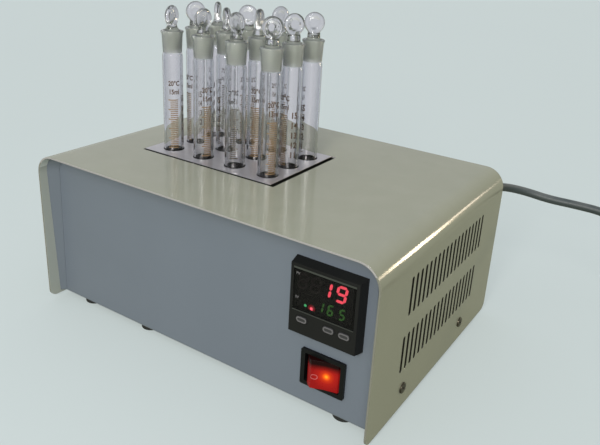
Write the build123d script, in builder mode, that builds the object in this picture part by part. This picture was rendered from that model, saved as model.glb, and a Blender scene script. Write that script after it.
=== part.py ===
"""Benchtop digestion reactor: a heated aluminium block for twelve stoppered tubes in a sheet-metal case.

Millimetres, +Z up, +X to the right of the front panel, -Y towards the user. The origin is on the table,
under the middle of the cover.
"""
from build123d import *
import math
import os

os.makedirs("parts", exist_ok=True)

# ---- Cover and base tray -------------------------------------------------------------------------------
cover_width = 280.0
cover_depth = 200.0
cover_height = 117.5
sheet = 1.2
bend_radius = 15.0
wall_corner_radius = 6.0
foot_height = 4.0
tray_rise = 1.0               # underside of the tray above the lower edges of the cover's walls
panel_recess = 12.5           # front and rear panels behind the cover's edges
seat_gap = 0.3                # between pieces that sit against each other without touching
slip_gap = 0.15               # around pieces that slide or turn in a hole
flange_height = 25.0
flange_length = 150.0
tray_bend = 0.4

opening_width = 120.0
opening_depth = 82.0
opening_inset = 172.0         # middle of the opening from the cover's right side
opening_y = -1.7

vent_count = 19
vent_pitch = 6.5
vent_width = 3.0
vent_length = 26.0
vent_row_gap = 13.2           # between the two rows of slots
vent_lift = 3.35              # middle of that gap above the middle of the walls
vent_stagger = 1.5            # upper row towards the rear, lower row towards the front

# ---- Heating block, tubes and stoppers -----------------------------------------------------------------
block_proud = 0.5             # block top above the cover
block_gap_left = 0.7
block_gap_right = 3.3
block_gap_front = 1.5
well_columns = 4
well_rows = 3
well_pitch_x = 29.2
well_pitch_y = 25.0
tube_diameter = 14.5
tube_wall = 1.1
well_clearance = 0.5
tube_length = 161.0
block_floor = 19.0            # block below the tubes
joint_length = 15.5           # ground neck
joint_taper = 0.05            # radius lost for each millimetre down the neck
joint_radius = 6.5            # bore radius at the rim
joint_wall = 1.05
joint_clearance = 0.06
rim_bead = 0.45
shoulder_length = 3.0
plug_length = 13.5
head_diameter = 14.6
head_thickness = 6.0
head_rounding = 2.4
# middles of the stoppers' discs above the rims, as blown
head_rises = (9.9, 11.1, 11.6, 12.3, 11.2, 9.9, 12.0, 12.3, 9.4, 10.0, 12.2, 11.3)
head_neck_diameter = 8.6
head_neck_waist = 7.4
plug_drop = 0.8               # top of the ground plug below the rim
stopper_shoulder = 1.0
stopper_waist_drop = 4.8      # waist below the middle of the disc
head_turns = (102, 87, -10, 38, 58, 140, 112, 50, 122, 25, 74, 40)   # degrees from -Y towards +X

# ---- Insulation and block housing ----------------------------------------------------------------------
insulation = 10.0
insulation_top_gap = 9.3      # below the cover's inner face
housing_sheet = 0.8
pillar_height = 13.0
pillar_across = 8.0
pillar_inset_x = 14.0
pillar_inset_y = 12.0
screw_diameter = 4.0
screw_head_diameter = 7.4
screw_head_height = 2.2
screw_length = 8.0
screw_slot = 1.2
screw_slot_share = 0.62       # slot length over head diameter
screw_slot_depth = 1.2
screw_edge_share = 0.45       # rounding of a screw's head over its height
screw_fit = 0.05

heater_count = 3
heater_diameter = 10.0
heater_length = 98.0
heater_pitch = 25.0
heater_rise = 8.0             # heater axis above the block's underside
heater_fit = 0.1
lead_diameter = 4.0
lead_hole_clearance = 1.0
probe_diameter = 4.0
probe_depth = 40.0
probe_rise = 41.0             # probe axis above the block's underside
probe_head_diameter = 7.0
probe_head_length = 11.0      # beyond the housing

# ---- Controller ----------------------------------------------------------------------------------------
controller_inset = 37.2       # axis from the cover's right side
controller_drop = 39.7        # axis below the cover's top
bezel_size = 48.0
bezel_face = 45.4
bezel_depth = 8.0
bezel_front = 2.0             # thickness of the bezel's front wall
bezel_overlap = 4.0           # bezel over the front end of the case
case_size = 44.6
case_length = 78.0
case_wall = 1.6
window_width = 41.4
window_height = 27.2
window_rise = 6.6             # middle of the window above the middle of the bezel
window_thickness = 1.2
clip_outer = 53.0
clip_thickness = 6.0
key_width = 7.6
key_height = 4.0
key_proud = 0.6
key_rounding = 0.35
key_travel = 0.8
key_flange = 0.6
key_flange_thickness = 0.9
key_drop = 12.6               # key axis below the middle of the bezel
key_places = {"set_key": -13.6, "down_key": 4.8, "up_key": 15.2}

# ---- Rocker switch -------------------------------------------------------------------------------------
switch_inset = 38.1           # axis from the cover's right side
switch_drop = 48.9            # axis below the controller's
switch_flange_width = 31.0
switch_flange_height = 25.4
switch_flange = 2.0
switch_body_width = 27.8
switch_body_height = 22.6
switch_body_depth = 19.0
switch_wall = 1.2
rocker_swing_radius = 12.2
rocker_face = 8.8             # face in front of the pivot, both ends level
rocker_dish = 0.7             # how far the middle of the face lies below its ends
rocker_tilt = 18.0            # degrees each way from level
rocker_root = 2.5
rocker_sink = 5.0             # pivot behind the panel's front face
pivot_diameter = 3.0
pivot_length = 0.9
tab_width = 6.3
tab_thickness = 0.8
tab_length = 8.0

# ---- Pieces on the tray --------------------------------------------------------------------------------
relay_inset = 40.0            # middle from the cover's right side, as for all pieces on the tray
relay_ahead = 40.0            # middle ahead of the fuse's
relay_width = 58.0
relay_depth = 45.0
relay_height = 22.0
relay_step = 7.3              # terminals below the relay's top
sink_width = 62.0
sink_depth = 50.0
sink_base = 5.0
sink_fin_height = 14.0
sink_fin = 2.0
sink_fin_count = 8
terminal_inset = 88.0
terminal_y = -30.0
terminal_count = 6
terminal_pitch = 8.0
terminal_width = 16.0
terminal_height = 14.0
terminal_hole = 4.6
fuse_inset = 70.0
fuse_ahead = 16.3             # middle ahead of the rear panel
fuse_base_width = 42.0
fuse_base_depth = 14.0
fuse_base_height = 8.0
fuse_diameter = 6.3
fuse_length = 31.0
clip_width = 6.0
clip_wall = 0.6
clip_mouth = 4.4
stud_inset = 20.0
stud_ahead = 20.3             # axis ahead of the rear panel
stud_diameter = 5.0
stud_height = 14.0
nut_across = 8.0
nut_height = 4.0
wire_diameter = 2.4
wire_spread = 3.5             # between the cores where they leave the boot
wire_lane = 4.5               # wires beside the heat sink

# ---- Feet and cover screws -----------------------------------------------------------------------------
foot_diameter = 15.0
foot_flare = 4.0              # degrees, wider at the tray
foot_inset_y = 9.8            # foot axis behind the panel
foot_inset_x = 26.5           # outer feet from the cover's sides
middle_foot_inset = 192.5     # middle feet from the cover's right side
foot_recess_diameter = 8.6
foot_floor = 1.4              # rubber between the screw's head and the tray
cover_screw_ys = (-54.0, 41.5)
cover_screw_z = 18.0
cover_screw_diameter = 5.0
cover_screw_head = 7.3
cover_screw_head_height = 1.1
cover_screw_length = 8.0
cover_screw_slot_depth = 0.7
cover_screw_turns = (-36.0, -22.0)   # slots, as each screw came to rest

# ---- Mains lead ----------------------------------------------------------------------------------------
cord_diameter = 6.8
cord_inset = 18.0             # axis from the cover's right side
cord_exit_drop = 26.5         # axis below the cover's top
boot_length = 24.0
boot_diameter = 12.0
boot_tip_diameter = 8.8
boot_flange_diameter = 16.0
boot_flange = 2.0
boot_inside = 3.0
coil_x = 291.0
coil_y = 96.5
coil_turns_across = 3
coil_layers = 2
coil_middle_radius = 37.4
coil_entry_angle = 57.0       # where the cord joins the coil's outermost turn, in degrees from +X
coil_exit_angle = 0.0
tie_width = 12.0
tie_thickness = 0.8
tie_angle = 200.0
straight_end = 15.0           # straight cord beside the coil and the plug
plug_entry_x = 327.8
plug_entry_y = 4.0
plug_heading = 255.0          # degrees from +X
plug_width = 38.0
plug_thickness = 26.0
plug_collar_diameter = 11.0
plug_collar_length = 8.0
plug_shoulder_length = 14.0
plug_grip_length = 22.0
plug_rounding = 4.0
pin_length = 18.0
pin_width = 6.4
pin_thickness = 1.6
pin_circle = 7.9              # radius of the circle that the three pins stand on

# ---- Heights and faces that follow ---------------------------------------------------------------------
wall_bottom = foot_height - tray_rise
cover_top = wall_bottom + cover_height
cover_inside = cover_top - sheet
tray_width = cover_width - 2 * (sheet + seat_gap)
tray_floor = foot_height + sheet
panel_y = cover_depth / 2 - panel_recess              # front face of the front panel is at -panel_y
panel_inside = panel_y - sheet
panel_height = cover_inside - seat_gap - foot_height
panel_corner = bend_radius - sheet - seat_gap
right_side = cover_width / 2
vent_middle = wall_bottom + cover_height / 2 + vent_lift
opening_x = right_side - opening_inset
controller_x = right_side - controller_inset
controller_z = cover_top - controller_drop
switch_x = right_side - switch_inset
switch_z = controller_z - switch_drop
fuse_x = right_side - fuse_inset
fuse_y = panel_inside - fuse_ahead
stud_x = right_side - stud_inset
stud_y = panel_inside - stud_ahead
relay_x = right_side - relay_inset
relay_y = fuse_y - relay_ahead
terminal_x = right_side - terminal_inset
cord_exit_x = right_side - cord_inset
cord_exit_z = cover_top - cord_exit_drop
foot_xs = (foot_inset_x - right_side, right_side - middle_foot_inset, right_side - foot_inset_x)
block_width = opening_width - block_gap_left - block_gap_right
block_depth = opening_depth - 2 * block_gap_front
block_x = opening_x - (block_gap_right - block_gap_left) / 2
block_y = opening_y
housing_bottom = tray_floor + pillar_height
jacket_bottom = housing_bottom + housing_sheet
block_bottom = jacket_bottom + insulation
block_top = cover_top + block_proud
block_height = block_top - block_bottom
block_right = block_x + block_width / 2
tube_bottom = block_bottom + block_floor
tube_depth = block_top - tube_bottom
tube_rim = tube_bottom + tube_length
tube_radius = tube_diameter / 2
jacket_width = block_width + 2 * insulation
jacket_depth = block_depth + 2 * insulation
jacket_top = cover_inside - insulation_top_gap
housing_width = jacket_width + 2 * housing_sheet
housing_depth = jacket_depth + 2 * housing_sheet
housing_right = block_x + housing_width / 2
heater_z = block_bottom + heater_rise
heater_ys = [block_y + (i - (heater_count - 1) / 2) * heater_pitch for i in range(heater_count)]
probe_y = opening_y + well_pitch_y / 2
probe_z = block_bottom + probe_rise
bezel_y = panel_y + bezel_depth                       # front face of the bezel is at -bezel_y
bezel_pocket_y = panel_y + bezel_overlap
key_z = controller_z - key_drop
pivot_y = -panel_y + rocker_sink
switch_back = panel_y - switch_body_depth             # rear face of the switch body is at -switch_back
switch_opening = 2 * (rocker_swing_radius + seat_gap)
rocker_height = switch_body_height - 2 * (switch_wall + slip_gap)
pivot_reach = switch_body_height / 2 - switch_wall + pivot_length
cord_radius = cord_diameter / 2
coil_width = coil_turns_across * cord_diameter
coil_height = coil_layers * cord_diameter
coil_outer = coil_middle_radius + coil_width / 2
coil_turn_radius = coil_outer - cord_radius           # outermost turn


def save(piece, name):
    """Name the finished piece and write it as its own STEP file."""
    piece.part.label = name
    export_step(piece.part, f"parts/{name}.step")


def upright(x, y, z, turn=0.0):
    """Vertical plane through a point: local x runs level, local y up, turned about Z from facing -Y."""
    angle = math.radians(turn)
    level = (math.cos(angle), math.sin(angle), 0)
    facing = (math.sin(angle), -math.cos(angle), 0)
    return Plane(origin=(x, y, z), x_dir=level, z_dir=facing)


def facing_right(x, y, z):
    """Vertical plane whose normal is +X: local x is +Y, local y is +Z."""
    return Plane(origin=(x, y, z), x_dir=(0, 1, 0), z_dir=(1, 0, 0))


def well_centres():
    """Centres of the wells, left to right and then front to rear."""
    for row in range(well_rows):
        for column in range(well_columns):
            yield (opening_x + (column - (well_columns - 1) / 2) * well_pitch_x,
                   opening_y + (row - (well_rows - 1) / 2) * well_pitch_y)


def corner_radii(points):
    """Largest tidy bend at each inner point of a route: 0.45 of the shorter run over tan of half the turn."""
    radii = []
    for before, point, after in zip(points, points[1:], points[2:]):
        run_in = Vector(*point) - Vector(*before)
        run_out = Vector(*after) - Vector(*point)
        turn = math.radians(run_in.get_angle(run_out))
        radii.append(0.45 * min(run_in.length, run_out.length) / math.tan(turn / 2))
    return radii


# ========================================================================================================
# Sheet metal
# ========================================================================================================

with BuildPart() as outer_cover:
    with BuildSketch(Plane.XZ):
        with Locations((0, wall_bottom)):
            Rectangle(cover_width, cover_height, align=(Align.CENTER, Align.MIN))
    extrude(amount=cover_depth / 2, both=True)
    fillet(outer_cover.edges().filter_by(Axis.Y).group_by(Axis.Z)[-1], bend_radius)
    open_faces = [outer_cover.faces().sort_by(Axis.Y)[0], outer_cover.faces().sort_by(Axis.Y)[-1],
                  outer_cover.faces().sort_by(Axis.Z)[0]]
    offset(amount=-sheet, openings=open_faces)
    fillet(outer_cover.edges().filter_by(Axis.X).group_by(Axis.Z)[0], wall_corner_radius)
    # rectangular opening over the heating block
    with BuildSketch(Plane.XY.offset(cover_top)):
        with Locations((opening_x, opening_y)):
            Rectangle(opening_width, opening_depth)
    extrude(amount=-2 * sheet, mode=Mode.SUBTRACT)
    # two rows of vent slots and the screw holes, through both walls
    with BuildSketch(Plane.YZ):
        for side in (1, -1):
            with Locations((side * vent_stagger, vent_middle + side * (vent_row_gap + vent_length) / 2)):
                with GridLocations(vent_pitch, 0, vent_count, 1):
                    SlotOverall(vent_length, vent_width, rotation=90)
        with Locations(*[(y, cover_screw_z) for y in cover_screw_ys]):
            Circle(cover_screw_diameter / 2 + slip_gap)
    extrude(amount=cover_width, both=True, mode=Mode.SUBTRACT)
save(outer_cover, "outer_cover")

foot_places = [(x, side * (panel_y - foot_inset_y)) for side in (-1, 1) for x in foot_xs]
pillar_places = [(block_x + side * (housing_width / 2 - pillar_inset_x),
                  block_y + end * (housing_depth / 2 - pillar_inset_y))
                 for side in (-1, 1) for end in (-1, 1)]

with BuildPart() as base_tray:
    with BuildSketch(Plane.XY.offset(foot_height)):
        Rectangle(tray_width, 2 * panel_y)
    extrude(amount=sheet)
    for outward in (1, -1):                           # front panel, then rear panel
        with BuildSketch(Plane.XZ.offset(outward * panel_y)) as panel_outline:
            with Locations((0, foot_height)):
                Rectangle(tray_width, panel_height, align=(Align.CENTER, Align.MIN))
            fillet(panel_outline.vertices().group_by(Axis.Y)[-1], panel_corner)
        extrude(amount=-outward * sheet)
    fillet(base_tray.edges().filter_by(Axis.X).group_by(Axis.Z)[0], tray_bend + sheet)
    for outward in (1, -1):                           # side flanges that take the cover screws
        with BuildSketch(Plane.YZ.offset(outward * tray_width / 2)):
            with Locations((0, foot_height)):
                Rectangle(flange_length, flange_height, align=(Align.CENTER, Align.MIN))
        extrude(amount=-outward * sheet)
    # controller and switch cut-outs in the front panel
    with BuildSketch(Plane.XZ.offset(panel_y)):
        with Locations((controller_x, controller_z)):
            Rectangle(case_size + 2 * slip_gap, case_size + 2 * slip_gap)
        with Locations((switch_x, switch_z)):
            Rectangle(switch_body_width + 2 * slip_gap, switch_body_height + 2 * slip_gap)
    extrude(amount=-2 * sheet, mode=Mode.SUBTRACT)
    # cord hole in the rear panel
    with BuildSketch(Plane.XZ.offset(-panel_y)):
        with Locations((cord_exit_x, cord_exit_z)):
            Circle(boot_diameter / 2)
    extrude(amount=2 * sheet, mode=Mode.SUBTRACT)
    # holes under the feet and pillars, and in the side flanges
    with BuildSketch(Plane.XY.offset(foot_height)):
        with Locations(*foot_places, *pillar_places):
            Circle(screw_diameter / 2 + screw_fit)
    extrude(amount=2 * sheet, mode=Mode.SUBTRACT)
    with BuildSketch(Plane.YZ):
        with Locations(*[(y, cover_screw_z) for y in cover_screw_ys]):
            Circle(cover_screw_diameter / 2 + screw_fit)
    extrude(amount=cover_width, both=True, mode=Mode.SUBTRACT)
save(base_tray, "base_tray")

# ========================================================================================================
# Heating block, its insulation and its housing
# ========================================================================================================

with BuildPart() as heating_block:
    with BuildSketch(Plane.XY.offset(block_bottom)):
        with Locations((block_x, block_y)):
            Rectangle(block_width, block_depth)
    extrude(amount=block_height)
    with BuildSketch(Plane.XY.offset(block_top)):
        with Locations(*well_centres()):
            Circle(tube_radius + well_clearance)
    extrude(amount=-(tube_depth + seat_gap), mode=Mode.SUBTRACT)
    with BuildSketch(facing_right(block_right, 0, heater_z)):
        with Locations(*[(y, 0) for y in heater_ys]):
            Circle(heater_diameter / 2 + heater_fit)
    extrude(amount=-(heater_length + heater_fit), mode=Mode.SUBTRACT)
    with BuildSketch(facing_right(block_right, probe_y, probe_z)):
        Circle(probe_diameter / 2 + heater_fit)
    extrude(amount=-(probe_depth + heater_fit), mode=Mode.SUBTRACT)
save(heating_block, "heating_block")


def lead_holes():
    """Holes for the heater leads and the probe, through the right side of what surrounds the block."""
    with BuildPart(mode=Mode.PRIVATE) as holes:
        with BuildSketch(facing_right(block_right, 0, heater_z)):
            with Locations(*[(y, 0) for y in heater_ys]):
                Circle(lead_diameter / 2 + lead_hole_clearance)
        extrude(amount=2 * insulation)
        with BuildSketch(facing_right(block_right, probe_y, probe_z)):
            Circle(probe_head_diameter / 2 + slip_gap)
        extrude(amount=2 * insulation)
    return holes.part


side_holes = lead_holes()

with BuildPart() as insulation_jacket:
    with BuildSketch(Plane.XY.offset(jacket_bottom)):
        with Locations((block_x, block_y)):
            Rectangle(jacket_width, jacket_depth)
    extrude(amount=jacket_top - jacket_bottom)
    with BuildSketch(Plane.XY.offset(block_bottom)):
        with Locations((block_x, block_y)):
            Rectangle(block_width, block_depth)
    extrude(amount=block_height, mode=Mode.SUBTRACT)
    add(side_holes, mode=Mode.SUBTRACT)
save(insulation_jacket, "insulation_jacket")

with BuildPart() as block_housing:
    with BuildSketch(Plane.XY.offset(housing_bottom)):
        with Locations((block_x, block_y)):
            Rectangle(housing_width, housing_depth)
    extrude(amount=jacket_top - housing_bottom)
    with BuildSketch(Plane.XY.offset(jacket_bottom)):
        with Locations((block_x, block_y)):
            Rectangle(jacket_width, jacket_depth)
    extrude(amount=jacket_top - jacket_bottom, mode=Mode.SUBTRACT)
    add(side_holes, mode=Mode.SUBTRACT)
save(block_housing, "block_housing")

with BuildPart() as housing_pillars:
    with BuildSketch(Plane.XY.offset(tray_floor)):
        with Locations(*pillar_places):
            RegularPolygon(pillar_across / 2, 6, major_radius=False)
            Circle(screw_diameter / 2 + screw_fit, mode=Mode.SUBTRACT)
    extrude(amount=housing_bottom - tray_floor)
save(housing_pillars, "housing_pillars")


def pan_screw(plane, shank, head, head_height, length, slot_depth):
    """Slotted pan-head screw: the head stands on the plane, the shank goes down behind it."""
    with BuildPart(mode=Mode.PRIVATE) as screw:
        with BuildSketch(plane):
            Circle(head / 2)
        extrude(amount=head_height)
        fillet(screw.edges().group_by(lambda edge: plane.to_local_coords(edge.center()).Z)[-1],
               head_height * screw_edge_share)
        with BuildSketch(plane):
            Circle(shank / 2)
        extrude(amount=-length)
        with BuildSketch(plane.offset(head_height)):
            Rectangle(head * screw_slot_share, screw_slot)
        extrude(amount=-slot_depth, mode=Mode.SUBTRACT)
    return screw.part


foot_seat = foot_height - foot_floor
screw_seats = [(x, y, foot_height) for x, y in pillar_places] + [(x, y, foot_seat) for x, y in foot_places]

with BuildPart() as base_screws:
    for seat_place in screw_seats:
        seat = Plane(origin=seat_place, x_dir=(1, 0, 0), z_dir=(0, 0, -1))
        add(pan_screw(seat, screw_diameter, screw_head_diameter, screw_head_height, screw_length,
                      screw_slot_depth))
save(base_screws, "base_screws")

with BuildPart() as rubber_feet:
    with BuildSketch(Plane.XY):
        with Locations(*foot_places):
            Circle(foot_diameter / 2)
    extrude(amount=foot_height, taper=-foot_flare)
    with BuildSketch(Plane.XY.offset(foot_seat)):
        with Locations(*foot_places):
            Circle(foot_recess_diameter / 2)
    extrude(amount=-foot_seat, mode=Mode.SUBTRACT)
    with BuildSketch(Plane.XY.offset(foot_height)):
        with Locations(*foot_places):
            Circle(screw_diameter / 2 + screw_fit)
    extrude(amount=-foot_height, mode=Mode.SUBTRACT)
save(rubber_feet, "rubber_feet")

with BuildPart() as cover_screws:
    for side in (1, -1):
        for y, turn in zip(cover_screw_ys, cover_screw_turns):
            along_slot = (0, math.cos(math.radians(turn)), math.sin(math.radians(turn)))
            seat = Plane((side * cover_width / 2, y, cover_screw_z), x_dir=along_slot, z_dir=(side, 0, 0))
            add(pan_screw(seat, cover_screw_diameter, cover_screw_head, cover_screw_head_height,
                          cover_screw_length, cover_screw_slot_depth))
save(cover_screws, "cover_screws")

# ========================================================================================================
# Heaters, their leads and the temperature probe
# ========================================================================================================

with BuildPart() as cartridge_heaters:
    with BuildSketch(facing_right(block_right, 0, heater_z)):
        with Locations(*[(y, 0) for y in heater_ys]):
            Circle(heater_diameter / 2)
    extrude(amount=-heater_length)
save(cartridge_heaters, "cartridge_heaters")

terminal_top = tray_floor + terminal_height
lead_drop_x = terminal_x - lead_diameter / 2


def sleeved_lead(points, diameter):
    """Round lead along straight runs joined by arcs."""
    with BuildPart(mode=Mode.PRIVATE) as lead:
        with BuildLine() as route:
            FilletPolyline(*points, radius=corner_radii(points))
        first_run = Vector(*points[1]) - Vector(*points[0])
        with BuildSketch(Plane(origin=points[0], z_dir=first_run)):
            Circle(diameter / 2)
        sweep(path=route.line)
    return lead.part


with BuildPart() as heater_leads:
    for i, y in enumerate(heater_ys):
        landing_y = terminal_y + (i - 1) * terminal_pitch * 2
        add(sleeved_lead([(block_right, y, heater_z), (housing_right + lead_diameter, y, heater_z),
                          (lead_drop_x, landing_y, heater_z), (lead_drop_x, landing_y, terminal_top)],
                         lead_diameter))
save(heater_leads, "heater_leads")

with BuildPart() as temperature_probe:
    with BuildSketch(facing_right(block_right, probe_y, probe_z)):
        Circle(probe_diameter / 2)
    extrude(amount=-probe_depth)
    with BuildSketch(facing_right(block_right, probe_y, probe_z)):
        Circle(probe_head_diameter / 2)
    extrude(amount=housing_right + probe_head_length - block_right)
save(temperature_probe, "temperature_probe")

# ========================================================================================================
# Tubes and stoppers
# ========================================================================================================


def neck_bore(drop):
    """Bore radius of the ground neck, drop millimetres below the rim."""
    return joint_radius - joint_taper * drop


def digestion_tube(x, y):
    """Round-bottomed glass tube with a tapered ground neck and a beaded rim."""
    outer_centre = tube_bottom + tube_radius
    inner_radius = tube_radius - tube_wall
    waist_z = tube_rim - joint_length
    shoulder_z = waist_z - shoulder_length
    waist_bore = neck_bore(joint_length)
    with BuildPart() as tube:
        with BuildSketch(upright(x, y, 0)):
            with BuildLine():
                wall = Polyline((tube_radius, outer_centre), (tube_radius, shoulder_z),
                                (waist_bore + joint_wall, waist_z),
                                (joint_radius + joint_wall, tube_rim - 2 * joint_wall),
                                (joint_radius + joint_wall + rim_bead, tube_rim - joint_wall),
                                (joint_radius + joint_wall + rim_bead / 2, tube_rim),
                                (joint_radius, tube_rim), (waist_bore, waist_z),
                                (inner_radius, shoulder_z), (inner_radius, outer_centre))
                RadiusArc(wall @ 1, (0, outer_centre - inner_radius), inner_radius)
                Line((0, outer_centre - inner_radius), (0, tube_bottom))
                RadiusArc((0, tube_bottom), wall @ 0, -tube_radius)
            make_face()
        revolve(axis=Axis((x, y, 0), (0, 0, 1)))
    return tube


def glass_stopper(x, y, turn, head_rise):
    """Ground plug that carries a thin neck and an upright rounded disc to hold it by."""
    plug_top = tube_rim - plug_drop
    plug_bottom = tube_rim - plug_length
    head_z = tube_rim + head_rise
    plug_foot = neck_bore(plug_length) - joint_clearance
    plug_rim = neck_bore(plug_drop) - joint_clearance
    with BuildPart() as stopper:
        with BuildSketch(upright(x, y, head_z, turn)):
            Circle(head_diameter / 2)
        extrude(amount=head_thickness / 2, both=True)
        fillet(stopper.edges(), head_rounding)
        with BuildSketch(upright(x, y, 0)):
            with BuildLine():
                Polyline((0, plug_bottom), (plug_foot, plug_bottom), (plug_rim, plug_top),
                         (head_neck_diameter / 2, plug_top + stopper_shoulder),
                         (head_neck_waist / 2, head_z - stopper_waist_drop),
                         (head_thickness / 2 - head_rounding / 4, head_z), (0, head_z), close=True)
            make_face()
        revolve(axis=Axis((x, y, 0), (0, 0, 1)))
    return stopper


for number, ((well_x, well_y), turn, rise) in enumerate(zip(well_centres(), head_turns, head_rises), start=1):
    save(digestion_tube(well_x, well_y), f"tube_{number}")
    save(glass_stopper(well_x, well_y, turn, rise), f"stopper_{number}")

# ========================================================================================================
# Temperature controller
# ========================================================================================================

window_z = controller_z + window_rise

with BuildPart() as controller_bezel:
    with BuildSketch(Plane.XZ.offset(panel_y)):
        with Locations((controller_x, controller_z)):
            Rectangle(bezel_size, bezel_size)
    with BuildSketch(Plane.XZ.offset(bezel_y)):
        with Locations((controller_x, controller_z)):
            Rectangle(bezel_face, bezel_face)
    loft()
    # pocket for the front end of the case, and a narrower one behind the front wall
    with BuildSketch(Plane.XZ.offset(panel_y)):
        with Locations((controller_x, controller_z)):
            Rectangle(case_size + 2 * slip_gap, case_size + 2 * slip_gap)
    extrude(amount=bezel_overlap, mode=Mode.SUBTRACT)
    with BuildSketch(Plane.XZ.offset(bezel_pocket_y)):
        with Locations((controller_x, controller_z)):
            Rectangle(case_size - 2 * case_wall, case_size - 2 * case_wall)
    extrude(amount=bezel_y - bezel_front - bezel_pocket_y, mode=Mode.SUBTRACT)
    # seat of the display window, the display aperture behind it, and the key holes
    with BuildSketch(Plane.XZ.offset(bezel_y)):
        with Locations((controller_x, window_z)):
            Rectangle(window_width, window_height)
    extrude(amount=-window_thickness, mode=Mode.SUBTRACT)
    with BuildSketch(Plane.XZ.offset(bezel_y)):
        with Locations((controller_x, window_z)):
            Rectangle(window_width - 2 * bezel_front, window_height - 2 * bezel_front)
        with Locations(*[(controller_x + key_x, key_z) for key_x in key_places.values()]):
            SlotOverall(key_width + 2 * slip_gap, key_height + 2 * slip_gap)
    extrude(amount=-(bezel_front + slip_gap), mode=Mode.SUBTRACT)
save(controller_bezel, "controller_bezel")

with BuildPart() as controller_window:
    with BuildSketch(Plane.XZ.offset(bezel_y)):
        with Locations((controller_x, window_z)):
            Rectangle(window_width - 2 * slip_gap, window_height - 2 * slip_gap)
    extrude(amount=-window_thickness)
save(controller_window, "controller_window")

with BuildPart() as controller_case:
    with BuildSketch(Plane.XZ.offset(bezel_pocket_y)):
        with Locations((controller_x, controller_z)):
            Rectangle(case_size, case_size)
    extrude(amount=-case_length)
    with BuildSketch(Plane.XZ.offset(bezel_pocket_y)):
        with Locations((controller_x, controller_z)):
            Rectangle(case_size - 2 * case_wall, case_size - 2 * case_wall)
    extrude(amount=-(case_length - case_wall), mode=Mode.SUBTRACT)
save(controller_case, "controller_case")

with BuildPart() as controller_clip:
    with BuildSketch(Plane.XZ.offset(panel_inside)):
        with Locations((controller_x, controller_z)):
            Rectangle(clip_outer, clip_outer)
            Rectangle(case_size + 2 * slip_gap, case_size + 2 * slip_gap, mode=Mode.SUBTRACT)
    extrude(amount=-clip_thickness)
save(controller_clip, "controller_clip")


def panel_key(x):
    """Oval key cap through the bezel's front wall, with a flange behind it that keeps it in."""
    with BuildPart() as key:
        with BuildSketch(Plane.XZ.offset(bezel_y + key_proud)):
            with Locations((x, key_z)):
                SlotOverall(key_width, key_height)
        extrude(amount=-(key_proud + bezel_front + slip_gap))
        fillet(key.edges().group_by(Axis.Y)[0], key_rounding)
        with BuildSketch(Plane.XZ.offset(bezel_y - bezel_front - slip_gap)):
            with Locations((x, key_z)):
                SlotOverall(key_width + 2 * key_flange, key_height + 2 * key_flange)
        extrude(amount=-key_flange_thickness)
    return key


for key_name, key_x in key_places.items():
    save(panel_key(controller_x + key_x), key_name)

# ========================================================================================================
# Rocker switch
# ========================================================================================================

with BuildPart() as switch_housing:
    with BuildSketch(Plane.XZ.offset(panel_y)):
        with Locations((switch_x, switch_z)):
            RectangleRounded(switch_flange_width, switch_flange_height, switch_wall)
    extrude(amount=switch_flange)
    with BuildSketch(Plane.XZ.offset(panel_y)):
        with Locations((switch_x, switch_z)):
            Rectangle(switch_body_width, switch_body_height)
    extrude(amount=-switch_body_depth)
    with BuildSketch(Plane.XZ.offset(panel_y + switch_flange)):
        with Locations((switch_x, switch_z)):
            Rectangle(switch_opening, switch_body_height - 2 * switch_wall)
    extrude(amount=-(switch_flange + switch_body_depth - switch_wall), mode=Mode.SUBTRACT)
    with BuildSketch(Plane.XY.offset(switch_z)):
        with Locations((switch_x, pivot_y)):
            Circle(pivot_diameter / 2 + slip_gap)
    extrude(amount=pivot_reach + slip_gap, both=True, mode=Mode.SUBTRACT)
save(switch_housing, "switch_housing")

rocker_half = math.sqrt(rocker_swing_radius ** 2 - rocker_face ** 2)
root_half = math.sqrt(rocker_swing_radius ** 2 - rocker_root ** 2)

with BuildPart() as rocker:
    # drawn level, facing -Y, about its pivot, then turned so that its right end is pressed in
    pivot_plane = Plane(origin=(switch_x, pivot_y, switch_z), x_dir=(1, 0, 0), z_dir=(0, 0, 1))
    with BuildSketch(pivot_plane.rotated((0, 0, rocker_tilt))):
        with BuildLine():
            ends = Polyline((-rocker_half, -rocker_face), (0, rocker_dish - rocker_face),
                            (rocker_half, -rocker_face))
            RadiusArc(ends @ 1, (root_half, -rocker_root), -rocker_swing_radius)
            Polyline((root_half, -rocker_root), (pivot_diameter, pivot_diameter),
                     (-pivot_diameter, pivot_diameter), (-root_half, -rocker_root))
            RadiusArc((-root_half, -rocker_root), ends @ 0, -rocker_swing_radius)
        make_face()
    extrude(amount=rocker_height / 2, both=True)
    with BuildSketch(pivot_plane):
        Circle(pivot_diameter / 2)
    extrude(amount=pivot_reach, both=True)
save(rocker, "rocker")

with BuildPart() as switch_terminals:
    with BuildSketch(Plane.XZ.offset(switch_back)):
        with Locations((switch_x, switch_z)):
            with GridLocations(switch_body_width / 2, switch_body_height / 2, 2, 2):
                Rectangle(tab_thickness, tab_width)
    extrude(amount=-tab_length)
save(switch_terminals, "switch_terminals")

# ========================================================================================================
# Pieces on the tray
# ========================================================================================================

with BuildPart() as relay_heat_sink:
    with BuildSketch(Plane.XY.offset(tray_floor + sink_fin_height)):
        with Locations((relay_x, relay_y)):
            Rectangle(sink_width, sink_depth)
    extrude(amount=sink_base)
    with BuildSketch(Plane.XY.offset(tray_floor)):
        with Locations((relay_x, relay_y)):
            with GridLocations((sink_width - sink_fin) / (sink_fin_count - 1), 0, sink_fin_count, 1):
                Rectangle(sink_fin, sink_depth)
    extrude(amount=sink_fin_height)
save(relay_heat_sink, "relay_heat_sink")

relay_base = tray_floor + sink_fin_height + sink_base

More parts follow.
